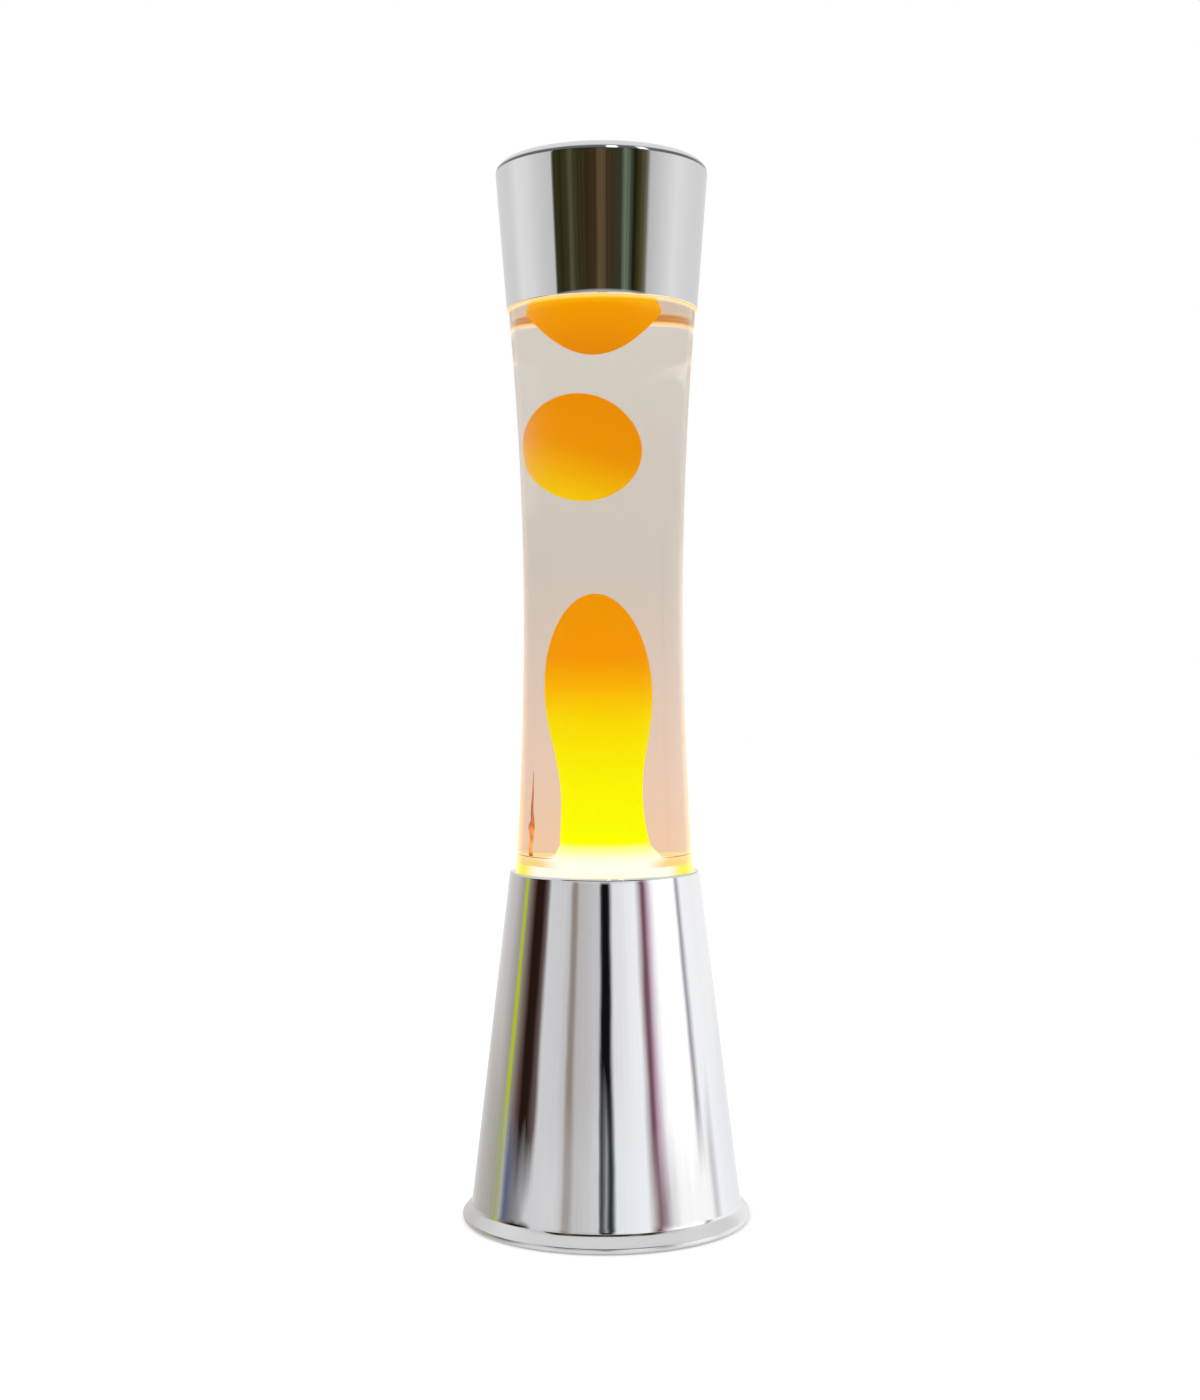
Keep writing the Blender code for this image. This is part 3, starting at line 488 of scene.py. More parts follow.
# ---- base ----
shell_low, shell_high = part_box("base_shell")
RIM_Z, RIM_R, RIM_BORE, SHEET = shell_high.z, 0.0355, 0.0335, 0.001
LIP_Z, LIP_R = shell_low.z, widest("base_shell")
FLARE_Z, FLARE_R = 0.0062, 0.0502


def cone_radius(z):
    return RIM_R + (RIM_Z - z) * (FLARE_R - RIM_R) / (RIM_Z - FLARE_Z)


CONE_TILT = math.atan((FLARE_R - RIM_R) / (RIM_Z - FLARE_Z))
GAP = 0.0003  # between pieces that touch
SCREW_R, SCREW_CIRCLE = 0.0014, 0.0435
GLAND_Z = 0.02
GLAND_R = 0.0046
gland_face = (
    round_z(90)
    @ Matrix.Translation((cone_radius(GLAND_Z), 0, GLAND_Z))
    @ Matrix.Rotation(math.pi / 2 - CONE_TILT, 4, "Y")
)


def make_base_shell():
    hem_z, lip_inner = RIM_Z - 0.0045, LIP_R - SHEET - 0.0002
    outline = rounded([
        (RIM_BORE, hem_z, 0),
        (RIM_BORE, RIM_Z, 0.0006),
        (RIM_R, RIM_Z, 0.0009),
        (FLARE_R, FLARE_Z, 0.003),
        (LIP_R, LIP_Z + 0.0014, 0.001),
        (LIP_R - 0.0003, LIP_Z, 0.0002),
        (lip_inner, LIP_Z, 0.0002),
        (lip_inner, LIP_Z + 0.001, 0.0004),
        (FLARE_R - SHEET, FLARE_Z - 0.0003, 0.003),
        (cone_radius(hem_z) - SHEET, hem_z, 0),
    ])
    mesh = turned_mesh("base_shell", outline, 224)
    hole = bar_mesh("hole", 0.012, GLAND_R, 48)
    mesh = cut_mesh(mesh, [(hole, gland_face @ Matrix.Translation((0, 0, -0.006)))], "base_shell")
    piece("base_shell", mesh, materials["base_chrome"])


def make_gland():
    lip, under, bore = 0.0016, -SHEET - 0.0009, 0.0031
    outline = rounded([
        (bore, GAP + lip, 0.0007),
        (GLAND_R + 0.002, GAP + lip, 0.0007),
        (GLAND_R + 0.002, GAP, 0.0002),
        (GLAND_R - GAP, GAP, 0),
        (GLAND_R - GAP, under, 0),
        (GLAND_R + 0.001, under, 0.0002),
        (GLAND_R + 0.0004, under - lip, 0.0003),
        (bore, under - lip, 0.0004),
    ])
    piece("cord_gland", turned_mesh("gland", outline, 64, 0.001), materials["rubber"], gland_face)


def inside_radius(z):
    """Just clear of the cone's inner face."""
    return cone_radius(z) - SHEET / math.cos(CONE_TILT) - GAP


def make_seat():
    low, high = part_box("bottle_seat")
    bore, thick, skirt = 0.0215, 0.002, 0.0015
    outline = rounded([
        (bore, high.z - thick, 0.0006),
        (bore, high.z, 0.0006),
        (inside_radius(high.z), high.z, 0.0006),
        (inside_radius(low.z), low.z, 0.0002),
        (inside_radius(low.z) - skirt, low.z, 0.0002),
        (inside_radius(high.z - thick) - skirt, high.z - thick, 0.001),
    ])
    turned_piece("bottle_seat", outline, "steel", 160)
    low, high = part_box("seat_gasket")
    fillet, bore = 0.0004, 0.0226
    ring = rounded([
        (bore, low.z, fillet), (high.x, low.z, fillet), (high.x, high.z, fillet),
        (bore, high.z, fillet),
    ])
    turned_piece("seat_gasket", ring, "silicone", 128)


def slot_mesh(length, width, depth):
    """A round-ended slot along X, cut upwards from 0."""
    plan = []
    for side in (1, -1):
        for step in range(13):
            angle = math.radians(-90 + 15 * step)
            x, y = (length - width) / 2 + math.cos(angle) * width / 2, math.sin(angle) * width / 2
            plan.append((side * x, side * y))
    return prism_mesh("slot", plan, depth)


def make_cover():
    """The moulded bottom: slots, screw holes, and a raised ring round the pedestal."""
    low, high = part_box("bottom_cover")
    thick, roof, pedestal_r, edge = 0.0025, 0.0022, 0.012, 0.0005
    top = low.z + thick
    outline = rounded([
        (0, high.z, 0),
        (pedestal_r, high.z, 0.001),
        (pedestal_r + 0.0012, top, 0.0008),
        (widest("bottom_cover"), top, edge),
        (widest("bottom_cover"), low.z, edge),
        (0.0365, low.z, 0),
        (0.0362, low.z + 0.0004, 0),
        (0.0345, low.z + 0.0004, 0),
        (0.0342, low.z, 0),
        (pedestal_r - 0.001, low.z, 0.0004),
        (pedestal_r - 0.0022, high.z - roof, 0.0006),
        (0, high.z - roof, 0),
    ])
    mesh = turned_mesh("bottom_cover", outline, 160)
    through, below = thick + 0.002, low.z - 0.001
    slot = slot_mesh(0.015, 0.0034, through)
    screw_hole = bar_mesh("screw_hole", through, SCREW_R + 0.0004)
    nipple_hole = bar_mesh("nipple_hole", roof + 0.002, 0.0052, 48)
    slots, screws = 12, 4
    cutters = [(nipple_hole, Matrix.Translation((0, 0, high.z - roof - 0.001)))]
    cutters += [(slot, round_z(360 * (i + 0.5) / slots, 0.0245, below)) for i in range(slots)]
    cutters += [(screw_hole, round_z(90 * i, SCREW_CIRCLE, below)) for i in range(screws)]
    piece("bottom_cover", cut_mesh(mesh, cutters, "bottom_cover"), materials["black_plastic"])


def make_fixings():
    low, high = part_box("cover_screw_1")
    head_r, head = 0.0028, 0.0016
    outline = rounded([
        (0, low.z, 0),
        (head_r, low.z, 0.001),
        (head_r, low.z + head, 0.0002),
        (SCREW_R, low.z + head, 0),
        (SCREW_R, high.z, 0.0004),
        (0, high.z, 0),
    ])
    screw = turned_mesh("screw", outline, 48, 0.0005)
    arm = [(-0.0017, -0.0005), (0.0017, -0.0005), (0.0017, 0.0005), (-0.0017, 0.0005)]
    recess = prism_mesh("recess", arm, 0.0009)
    place = Matrix.Translation((0, 0, low.z - 0.0002))
    turns = (0, math.pi / 2)
    screw = cut_mesh(screw, [(recess, place @ Matrix.Rotation(turn, 4, "Z")) for turn in turns], "screw")
    for i in range(4):
        spun = round_z(90 * i, SCREW_CIRCLE) @ Matrix.Rotation(0.7 * i + 0.3, 4, "Z")
        piece(f"cover_screw_{i + 1}", screw, materials["steel"], spun)

    low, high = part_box("rubber_foot_1")
    foot_r = (high.x - low.x) / 2
    pad = rounded([
        (0, low.z + 0.0005, 0),
        (foot_r - 0.0022, low.z + 0.0005, 0.0002),
        (foot_r - 0.0019, low.z, 0.0002),
        (foot_r, low.z, 0.0005),
        (foot_r - 0.0005, high.z, 0),
        (0, high.z, 0),
    ])
    foot = turned_mesh("foot", pad, 64, 0.0008)
    for i in range(4):
        low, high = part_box(f"rubber_foot_{i + 1}")
        centre = (low + high) / 2
        piece(f"rubber_foot_{i + 1}", foot, materials["rubber"], Matrix.Translation((centre.x, centre.y, 0)))


make_base_shell()
make_gland()
make_seat()
make_cover()
make_fixings()


# ---- lampholder and bulb ----
THREAD_PITCH, THREAD_DEPTH = 0.00282, 0.0004


def make_holder():
    low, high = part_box("holder_base")
    outer, wall, nipple_r = 0.014, 0.0016, 0.0052
    outline = rounded([
        (nipple_r, low.z, 0.0002),
        (outer - 0.0012, low.z, 0.0012),
        (outer - 0.0004, high.z, 0.0002),
        (outer - wall, high.z, 0.0002),
        (outer - wall - 0.001, low.z + 0.0027, 0.001),
        (nipple_r + 0.0027, low.z + 0.0027, 0.0004),
        (nipple_r + 0.0027, low.z + 0.0085, 0.0002),
        (nipple_r, low.z + 0.0085, 0),
    ])
    turned_piece("holder_base", outline, "bakelite", 96, 0.001)

    low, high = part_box("holder_body")
    ribs = 14
    outline = rounded([
        (outer - wall, low.z, 0.0002),
        (outer, low.z, 0.0003),
        (outer, high.z, 0.002),
        (0.0096, high.z, 0.0006),
        (0.0096, high.z - 0.002, 0),
        (outer - wall, high.z - 0.004, 0),
    ])
    rib_low, rib_high = low.z + 0.0065, high.z - 0.008

    def grip(r, angle, z):
        reach = smoothstep((z - rib_low) / 0.001) * smoothstep((rib_high - z) / 0.001)
        groove = 0.0005 * smoothstep(0.5 - 1.6 * math.sin(ribs * angle)) * reach
        r -= groove if r > outer - 0.0002 else 0
        return polar(r, angle, z)

    turned_piece("holder_body", outline, "bakelite", 16 * ribs, 0.0005, grip)


def make_bulb():
    tip_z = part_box("bulb_tip_contact")[0].z
    low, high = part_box("bulb_envelope")
    top, neck_r, bulb_r, skin = high.z, 0.0088, 0.0195, 0.0009
    path = rounded([
        (neck_r, low.z, 0),
        (neck_r, tip_z + 0.033, 0.008),
        (bulb_r, tip_z + 0.053, 0.01),
        (bulb_r, top - 0.002, 0.0045),
        (0.01, top - 0.0004, 0.03),
        (0, top, 0),
    ], math.radians(5))
    look = bulb_glass_look(top)
    piece("bulb_envelope", turned_mesh("bulb_envelope", thickened(path[::-1], skin), 96), look)

    low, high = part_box("bulb_screw_shell")
    mean, wall = 0.0066, 0.0008
    band_high = high.z - 0.006
    outline = [(mean, low.z), (mean, band_high), (0.0076, band_high + 0.0014), (0.009, high.z),
               (0.0084, high.z), (mean - wall, band_high), (mean - wall, low.z)]

    def thread(r, angle, z):
        if abs(r - mean) < 1e-4 and z < band_high - 1e-5:
            r += THREAD_DEPTH * math.cos(2 * math.pi * (z - tip_z) / THREAD_PITCH - angle)
        return polar(r, angle, z)

    turned_piece("bulb_screw_shell", outline, "nickel", 64, THREAD_PITCH / 12, thread)

    low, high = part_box("bulb_stem")
    outline = rounded([
        (0, low.z, 0), (0.0052, low.z, 0.0008), (0.0052, low.z + 0.008, 0.002),
        (0.0022, low.z + 0.015, 0.002), (0.0022, high.z, 0.001), (0, high.z, 0),
    ])
    turned_piece("bulb_stem", outline, "clear_glass", 48, 0.001)


make_holder()
make_bulb()


# ---- bottle ----
BOTTLE_Z, MOUTH_Z = glass_low.z, glass_high.z
WALL = 0.0024
HEEL_Z, HEEL_R = BOTTLE_Z + 0.0115, 0.0334
WAIST_Z, WAIST_R = BOTTLE_Z + 0.1107, 0.02995
SHOULDER_Z, SHOULDER_R, LEDGE_R = LEDGE_Z - 0.0009, widest("glass_bottle"), 0.0339
WALL_LOW_Z, WALL_HIGH_Z = BOTTLE_Z + 0.016, SHOULDER_Z - 0.004  # the ends of the plain inner wall
NECK_R, MOUTH_R = 0.0125, 0.0088
FLOOR_Z = BOTTLE_Z + 0.0066
LIQUID_Z, MENISCUS = BOTTLE_Z + 0.2335, 0.0012
OVERLAP = 0.00012  # of the liquid into the glass, so that light passes straight from one to the other


def bottle_radius(z):
    if z < WAIST_Z:
        return WAIST_R + (HEEL_R - WAIST_R) * ((WAIST_Z - z) / (WAIST_Z - HEEL_Z)) ** 2
    return WAIST_R + (SHOULDER_R - WAIST_R) * ((z - WAIST_Z) / (SHOULDER_Z - WAIST_Z)) ** 2


def wall_points(low, high, inset, count=60):
    heights = [low + (high - low) * i / count for i in range(count + 1)]
    return [Vector((bottle_radius(z) - inset, z)) for z in heights]


def make_bottle():
    foot = rounded([
        (0, BOTTLE_Z + 0.002, 0), (0.0215, BOTTLE_Z + 0.0014, 0.001), (0.024, BOTTLE_Z, 0.001),
        (bottle_radius(HEEL_Z), BOTTLE_Z, 0.005), (bottle_radius(HEEL_Z), HEEL_Z, 0),
    ])[:-1]
    shoulder = rounded([
        (bottle_radius(WALL_HIGH_Z), WALL_HIGH_Z, 0),
        (SHOULDER_R, LEDGE_Z, 0.0008),
        (LEDGE_R, LEDGE_Z, 0.0003),
        (LEDGE_R, BOTTLE_Z + 0.238, 0.011),
        (NECK_R, BOTTLE_Z + 0.2475, 0.005),
        (NECK_R, BOTTLE_Z + 0.262, 0),
        (0.0132, BOTTLE_Z + 0.263, 0),
        (0.0132, MOUTH_Z, 0.0012),
        (MOUTH_R, MOUTH_Z, 0.0008),
        (MOUTH_R, BOTTLE_Z + 0.249, 0.005),
        (LEDGE_R - WALL, BOTTLE_Z + 0.236, 0.01),
        (LEDGE_R - WALL, BOTTLE_Z + 0.224, 0.002),
        (bottle_radius(WALL_HIGH_Z) - WALL, WALL_HIGH_Z, 0),
    ])[1:-1]
    heel = rounded([
        (bottle_radius(WALL_LOW_Z) - WALL, WALL_LOW_Z, 0), (HEEL_R - WALL, FLOOR_Z, 0.0045),
        (0, FLOOR_Z, 0),
    ])[1:]
    outer = wall_points(HEEL_Z, WALL_HIGH_Z, 0)
    inner = wall_points(WALL_LOW_Z, WALL_HIGH_Z, WALL)[::-1]
    outline = foot + outer + shoulder + inner + heel
    turned_piece("glass_bottle", outline, "glass", 192, None)


def make_liquid():
    """The clear liquid, with a meniscus that climbs the glass."""
    inset = WALL - OVERLAP
    floor = FLOOR_Z - OVERLAP
    heel = rounded([
        (0, floor, 0), (HEEL_R - inset, floor, 0.0045),
        (bottle_radius(WALL_LOW_Z) - inset, WALL_LOW_Z, 0),
    ])[:-1]
    edge_r, top_r = LEDGE_R - WALL, LEDGE_R - WALL - 0.0008
    curve = 0.003
    surface = []
    for k in range(17):
        share = k / 16
        surface.append(Vector((top_r - curve * share**1.6, LIQUID_Z + MENISCUS * (1 - share) ** 2.4)))
    side = wall_points(WALL_LOW_Z, WALL_HIGH_Z, inset)
    throat = rounded([side[-1].to_tuple() + (0,), (edge_r + OVERLAP, BOTTLE_Z + 0.224, 0.002),
                      (edge_r + OVERLAP, LIQUID_Z - 0.003, 0),
                      (top_r + OVERLAP, LIQUID_Z + MENISCUS, 0)])[1:]
    outline = heel + side + throat + surface
    outline += [Vector((0, LIQUID_Z))]
    turned_piece("liquid", outline, "liquid", 192, None)


def make_closure():
    """The crimped crown and the seal inside it."""
    low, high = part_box("crown_seal")
    fillet = 0.0003
    disc = rounded([(0, low.z, 0), (high.x, low.z, fillet), (high.x, high.z, fillet), (0, high.z, 0)])
    turned_piece("crown_seal", disc, "silicone", 96, 0.001)

    low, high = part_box("crown_cap")
    metal, crown_r, flutes = 0.0004, 0.0152, 21
    path = rounded([
        (0, high.z, 0), (0.0137, high.z, 0.0022), (crown_r, high.z - 0.0034, 0.002),
        (crown_r + 0.0004, low.z, 0),
    ])
    crimp_z = high.z - metal - 0.0014

    def fluted(r, angle, z):
        r += 0.00065 * smoothstep((crimp_z - z) / 0.003) * math.sin(flutes * angle)
        return polar(r, angle, z)

    turned_piece("crown_cap", thickened(path, metal), "nickel", 12 * flutes, 0.0006, fluted)


make_bottle()
make_liquid()
make_closure()


# ---- wax ----
column_low, column_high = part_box("wax_column")
POOL_Z, WAX_TOP_Z = BOTTLE_Z + 0.0168, column_high.z
COIL_R = 0.021
POOL_SAG = 0.0017  # how far the wax's surface has sunk where it meets the glass
BELLY_Z, NECK_WAX_Z = BOTTLE_Z + 0.0787, BOTTLE_Z + 0.0397
BELLY_R, NECK_WAX_R, FLARE = 0.0149, 0.0113, 3.7


def seen(red, green, blue, loss=(0.89, 0.79, 0.75)):
    """The painted glow that shows as this 8-bit colour once the liquid and glass take their share."""
    return tuple(value / share for value, share in zip(srgb(red, green, blue), loss))


# Colours of the wax's painted glow.
YELLOW_WHITE = seen(254, 253, 222, (0.92, 0.76, 0.54))
YELLOW = seen(244, 252, 0, (0.91, 0.75, 0.6))
PAINTED_END_YELLOW = seen(244, 242, 66)
PAINTED_POOL_TOP = seen(248, 212, 116, (0.95, 0.78, 0.62))
WARM_YELLOW = seen(248, 220, 0)
AMBER = seen(250, 182, 0)
ORANGE = seen(246, 152, 0)


def column_radius(z):
    if z < NECK_WAX_Z:
        return NECK_WAX_R + FLARE * (NECK_WAX_Z - z) ** 2
    if z < BELLY_Z:
        swing = math.cos(math.pi * (z - NECK_WAX_Z) / (BELLY_Z - NECK_WAX_Z))
        return (BELLY_R + NECK_WAX_R) / 2 - (BELLY_R - NECK_WAX_R) / 2 * swing
    share = (z - BELLY_Z) / (WAX_TOP_Z - BELLY_Z)
    return BELLY_R * math.sqrt(max(0.0, 1 - share**2))


def column_lean(z):
    """The column's axis leans to the left as it rises from the pool's middle."""
    share = max(0.0, (z - POOL_Z) / (WAX_TOP_Z - POOL_Z))
    return (0.0012 * math.exp(-share / 0.05) - 0.0002 - 0.0021 * share) * smoothstep(share / 0.01)


def make_column():
    low, groove_z = column_low.z, column_low.z + 0.0062
    root_z = POOL_Z + 0.0045
    edge_z = POOL_Z - POOL_SAG
    pool_r = bottle_radius(edge_z) - WALL - 0.0001
    pool = rounded([
        (0, low, 0),
        (COIL_R - 0.004, low, 0), (COIL_R - 0.004, groove_z, 0),
        (COIL_R + 0.004, groove_z, 0), (COIL_R + 0.004, low, 0),
        (HEEL_R - WALL - 0.0001, low, 0.0045),
        (pool_r, edge_z, 0.0004),
        (pool_r - 0.006, POOL_Z, 0.006),
        (column_radius(POOL_Z) + 0.0016, POOL_Z, 0.0026),
        (column_radius(root_z), root_z, 0),
    ])
    cap = WAX_TOP_Z - BELLY_Z
    side = [root_z + (BELLY_Z - root_z) * i / 40 for i in range(1, 40)]
    dome = [BELLY_Z + cap * math.sin(math.pi / 2 * i / 24) for i in range(24)]
    outline = pool + [Vector((column_radius(z), z)) for z in side + dome] + [Vector((0, WAX_TOP_Z))]

    def leaning(r, angle, z):
        return polar(r, angle, z, column_lean(z))

    # Painted glow of the column: hot yellow-white at the pool, deep orange at the top.
    glow = wax_look("wax_column_painted_glow", [
        (0.0, YELLOW_WHITE), (0.035, YELLOW_WHITE), (0.1, YELLOW), (0.36, seen(244, 242, 0)),
        (0.54, WARM_YELLOW), (0.66, AMBER), (0.77, ORANGE), (1.0, seen(244, 150, 0)),
    ], POOL_Z - 0.004, WAX_TOP_Z, pool_z=POOL_Z)
    piece("wax_column", turned_mesh("wax_column", outline, 128, 0.0015, leaning), glow)


def make_films():
    """Thin wax on the glass: a line along the pool's front edge, and a smear that has run
    down the wall on the left."""
    look = Look("wax_film", (0.22, 0.06, 0.01), 0.5, Specular_IOR_Level=0.0)
    # The films' colour is a painted glow as emission: dim at the pool's edge, bright a few millimetres above
    # it, dimmer higher up.
    height = look.height()
    share = look.ranged(height, 0, 1, POOL_Z, POOL_Z + 0.03)
    glow = look.ramp(share, [
        (0.0, (0.3, 0.08, 0.015)), (0.08, (0.3, 0.08, 0.015)), (0.12, (0.92, 0.46, 0.1)),
        (0.36, (0.9, 0.42, 0.1)), (0.44, (0.52, 0.18, 0.06)), (1.0, (0.56, 0.24, 0.12)),
    ])
    smudge = look.ranged(look.noise(300, detail=3.0), 0.75, 1.25, 0.35, 0.65)
    look.set(Emission_Color=glow, Emission_Strength=smudge)

    shape = bmesh.new()
    line_z, line, count = POOL_Z + 0.0017, 0.00022, 40
    wall_r = bottle_radius(line_z) - WALL - 0.00005
    for first, last in ((-180, -126), (-48, 0)):
        ring = []
        for k in range(count + 1):
            angle = math.radians(first + (last - first) * k / count)
            half = line * min(1.0, 0.15 + 4 * min(k, count - k) / count) / 2
            corners = ((wall_r, line_z - half), (wall_r, line_z + half),
                       (wall_r - line, line_z + half), (wall_r - line, line_z - half))
            ring.append([shape.verts.new(polar(r, angle, z)) for r, z in corners])
        for here, there in zip(ring, ring[1:]):
            for k in range(4):
                on = (k + 1) % 4
                shape.faces.new((here[k], here[on], there[on], there[k]))
        shape.faces.new(ring[0])
        shape.faces.new(ring[-1])

    run = [(0.002, 0.0012), (0.005, 0.0011), (0.0085, 0.0012), (0.0112, 0.002), (0.013, 0.0021),
           (0.015, 0.0012), (0.019, 0.0008), (0.025, 0.0005), (0.033, 0.0001)]
    middle, film, sides = math.radians(-90 - 59.5), 0.00015, []
    for rise, half in run:
        z = POOL_Z + rise
        r = bottle_radius(z) - WALL - film
        for way in (-1, 1):
            angle = middle + way * half / r + 0.012 * math.sin(rise * 900)
            sides.append([shape.verts.new(polar(k, angle, z)) for k in (r, r - film)])
    rows = [sides[i * 2:i * 2 + 2] for i in range(len(run))]
    for (left, right), (left_up, right_up) in zip(rows, rows[1:]):
        shape.faces.new((left[0], right[0], right_up[0], left_up[0]))
        shape.faces.new((right[1], left[1], left_up[1], right_up[1]))
        shape.faces.new((left[1], left[0], left_up[0], left_up[1]))
        shape.faces.new((right[0], right[1], right_up[1], right_up[0]))
    for left, right in (rows[0], rows[-1]):
        shape.faces.new((left[0], left[1], right[1], right[0]))
    made = new_object("wax_films", mesh_of(shape, "wax_films"), look.material)
    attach(made, body_of["wax_column"])


def make_blob():
    """The free drop: a slightly pear-shaped ellipsoid, with a painted glow that is paler where the column
    lights it.
    """
    low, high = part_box("wax_blob")
    centre, half = (low + high) / 2, (high.z - low.z) / 2
    radius = 0.0166
    dome = [math.pi * (i / 48 - 0.5) for i in range(49)]
    outline = [Vector((radius * math.cos(t), half * math.sin(t))) for t in dome]
    outline[0].x = outline[-1].x = 0.0

    def pear(r, angle, z):
        wide = 1 + 0.03 * math.cos(math.pi * z / half / 2) * math.sin(2 * angle + 0.6)
        lean = -0.05 * z
        return r * wide * math.cos(angle) + lean, r * math.sin(angle), z

    mesh = turned_mesh("wax_blob", outline, 96, None, pear)
    glow = wax_look("wax_blob_painted_glow", [
        (0.0, seen(254, 200, 6)), (0.16, seen(251, 180, 3)), (0.45, seen(243, 148, 0)),
        (1.0, seen(239, 137, 0)),
    ], -half, half, lean=-0.35)
    piece("wax_blob", mesh, glow, Matrix.Translation(centre))


def make_top_blob():
    """The drop under the surface: a bowl, its widest ring, and a top that draws in."""
    low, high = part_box("wax_top_blob")
    centre = (low + high) / 2
    belly_r, belly = 0.0191, 0.0168
    steepness = 0.0208
    outline = [Vector((0, 0))]
    for k in range(1, 32):
        h = belly * 0.93 * (k / 31) ** 2
        outline.append(Vector((math.sqrt(steepness * h), h)))
    outline += rounded([
        (outline[-1].x, outline[-1].y, 0),
        (belly_r - 0.0003, belly + 0.0004, 0.0022),
        (0.017, belly + 0.0042, 0.002),
        (0.013, high.z - low.z, 0.001),
        (0, high.z - low.z, 0),
    ])[1:]

    def uneven(r, angle, z):
        wide = 1 + 0.02 * math.sin(2 * angle + 0.4)
        return r * wide * math.cos(angle), r * math.sin(angle), z

    mesh = turned_mesh("wax_top_blob", outline, 96, 0.0015, uneven)
    # Painted glow, brighter towards the top.
    glow = wax_look("wax_top_painted_glow", [
        (0.0, seen(234, 132, 3)), (0.5, seen(243, 147, 0)), (0.85, seen(248, 154, 0)),
        (0.93, seen(255, 172, 4)), (1.0, seen(255, 168, 4)),
    ], 0.0, belly + 0.002)
    piece("wax_top_blob", mesh, glow, Matrix.Translation((centre.x, centre.y, low.z)))


def make_coil():
    """The wound wire ring that lies on the bottle's floor."""
    low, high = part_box("wax_coil")
    wire_r, turns, per_turn = 0.00045, 20, 24
    centre_z = (low.z + high.z) / 2
    wind_r = (high.z - low.z) / 2 - wire_r
    curve = bpy.data.curves.new("wax_coil", "CURVE")
    curve.dimensions = "3D"
    curve.bevel_depth = wire_r
    curve.bevel_resolution = 3
    spline = curve.splines.new("POLY")
    count = turns * per_turn
    spline.points.add(count - 1)
    for i, point in enumerate(spline.points):
        around, wind = 2 * math.pi * i / count, 2 * math.pi * turns * i / count
        reach = COIL_R + wind_r * math.cos(wind)
        height = centre_z + wind_r * math.sin(wind)
        point.co = (reach * math.cos(around), reach * math.sin(around), height, 1)
    spline.use_cyclic_u = True
    wire = new_object("coil_wire", curve)
    graph = bpy.context.evaluated_depsgraph_get()
    mesh = bpy.data.meshes.new_from_object(wire.evaluated_get(graph))
    bpy.data.objects.remove(wire)
    mesh.shade_smooth()
    piece("wax_coil", mesh, materials["steel"])


make_column()
make_films()
make_blob()
make_top_blob()
make_coil()


# ---- cap ----
cap_low, cap_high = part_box("cap_shell")
CAP_Z, CAP_TOP_Z = cap_low.z, cap_high.z
CAP_RIM_R, CAP_TOP_R, CAP_THICK = 0.0357, 0.04, 0.0012
CAP_SIDE = 0.0541  # the height of the cap's straight side


def make_cap():
    shoulder_z, crown, crown_r = CAP_Z + CAP_SIDE, 0.0012, 0.0292
    hem, rim_z = 0.0018, CAP_Z - 0.0002
    outline = rounded([
        (0, CAP_TOP_Z, 0),
        (crown_r, CAP_TOP_Z - crown, 0.06),
        (CAP_TOP_R, shoulder_z, 0.0038),
        (CAP_RIM_R, rim_z, 0.0004),
        (CAP_RIM_R - hem, rim_z, 0.0004),
        (CAP_RIM_R - hem, rim_z + hem, 0.0005),
        (CAP_RIM_R - CAP_THICK, rim_z + hem * 1.3, 0.0005),
        (CAP_TOP_R - CAP_THICK, shoulder_z - CAP_THICK, 0.002),
        (crown_r, CAP_TOP_Z - crown - CAP_THICK, 0),
        (0, CAP_TOP_Z - CAP_THICK, 0),
    ], math.radians(5))
    mesh = turned_mesh("cap_shell", outline, 224)
    mesh.materials.append(materials["cap_chrome"])
    mesh.materials.append(materials["cap_inside"])
    # The inward faces take the inside material, with its painted glow.
    for face in mesh.polygons:
        axis_out = Vector((face.center.x, face.center.y, 0.0)).normalized()
        inward = face.normal.dot(axis_out) < -0.3 or face.normal.z < -0.6
        face.material_index = int(inward)
    piece("cap_shell", mesh)


def make_foam_ring():
    """The die-cut foam that centres the cap on the crown: softened edges, walls that sink in
    between them, and an uneven cut."""
    low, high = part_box("cap_foam_ring")
    slope, inset, bore, soft = (CAP_TOP_R - CAP_RIM_R) / CAP_SIDE, CAP_THICK + 0.0006, 0.0166, 0.0014

    def outer(z):
        return CAP_RIM_R + slope * (z - CAP_Z) - inset

    outline = rounded([
        (bore, low.z, soft), (outer(low.z), low.z, soft), (outer(high.z), high.z, soft),
        (bore, high.z, soft),
    ])
    middle_r, middle_z, half = (bore + outer(low.z)) / 2, (low.z + high.z) / 2, (high.z - low.z) / 2

    def sunk(r, angle, z):
        sag = 0.0004 * (1 - ((z - middle_z) / half) ** 2)
        cut = 0.00015 * (math.sin(7 * angle) + math.sin(19 * angle + z * 700))
        r += math.copysign(abs(cut) - sag, r - middle_r) if abs(r - middle_r) > 0.004 else 0.0
        dimple = 0.0002 * math.sin(11 * angle) * math.sin(r * 900)
        return r * math.cos(angle), r * math.sin(angle), z + dimple * (middle_z - z) / half

    ring = turned_piece("cap_foam_ring", outline, "foam", 160, 0.0012, sunk)


make_cap()
make_foam_ring()


# ---- studio ----
CAMERA_AT = Vector((-0.0014, -0.738, 0.2018))
SEAM_Z = 0.33  # where the two large rings of the room meet
RING_R = 1.0  # the distance at which the room that the chrome mirrors is drawn


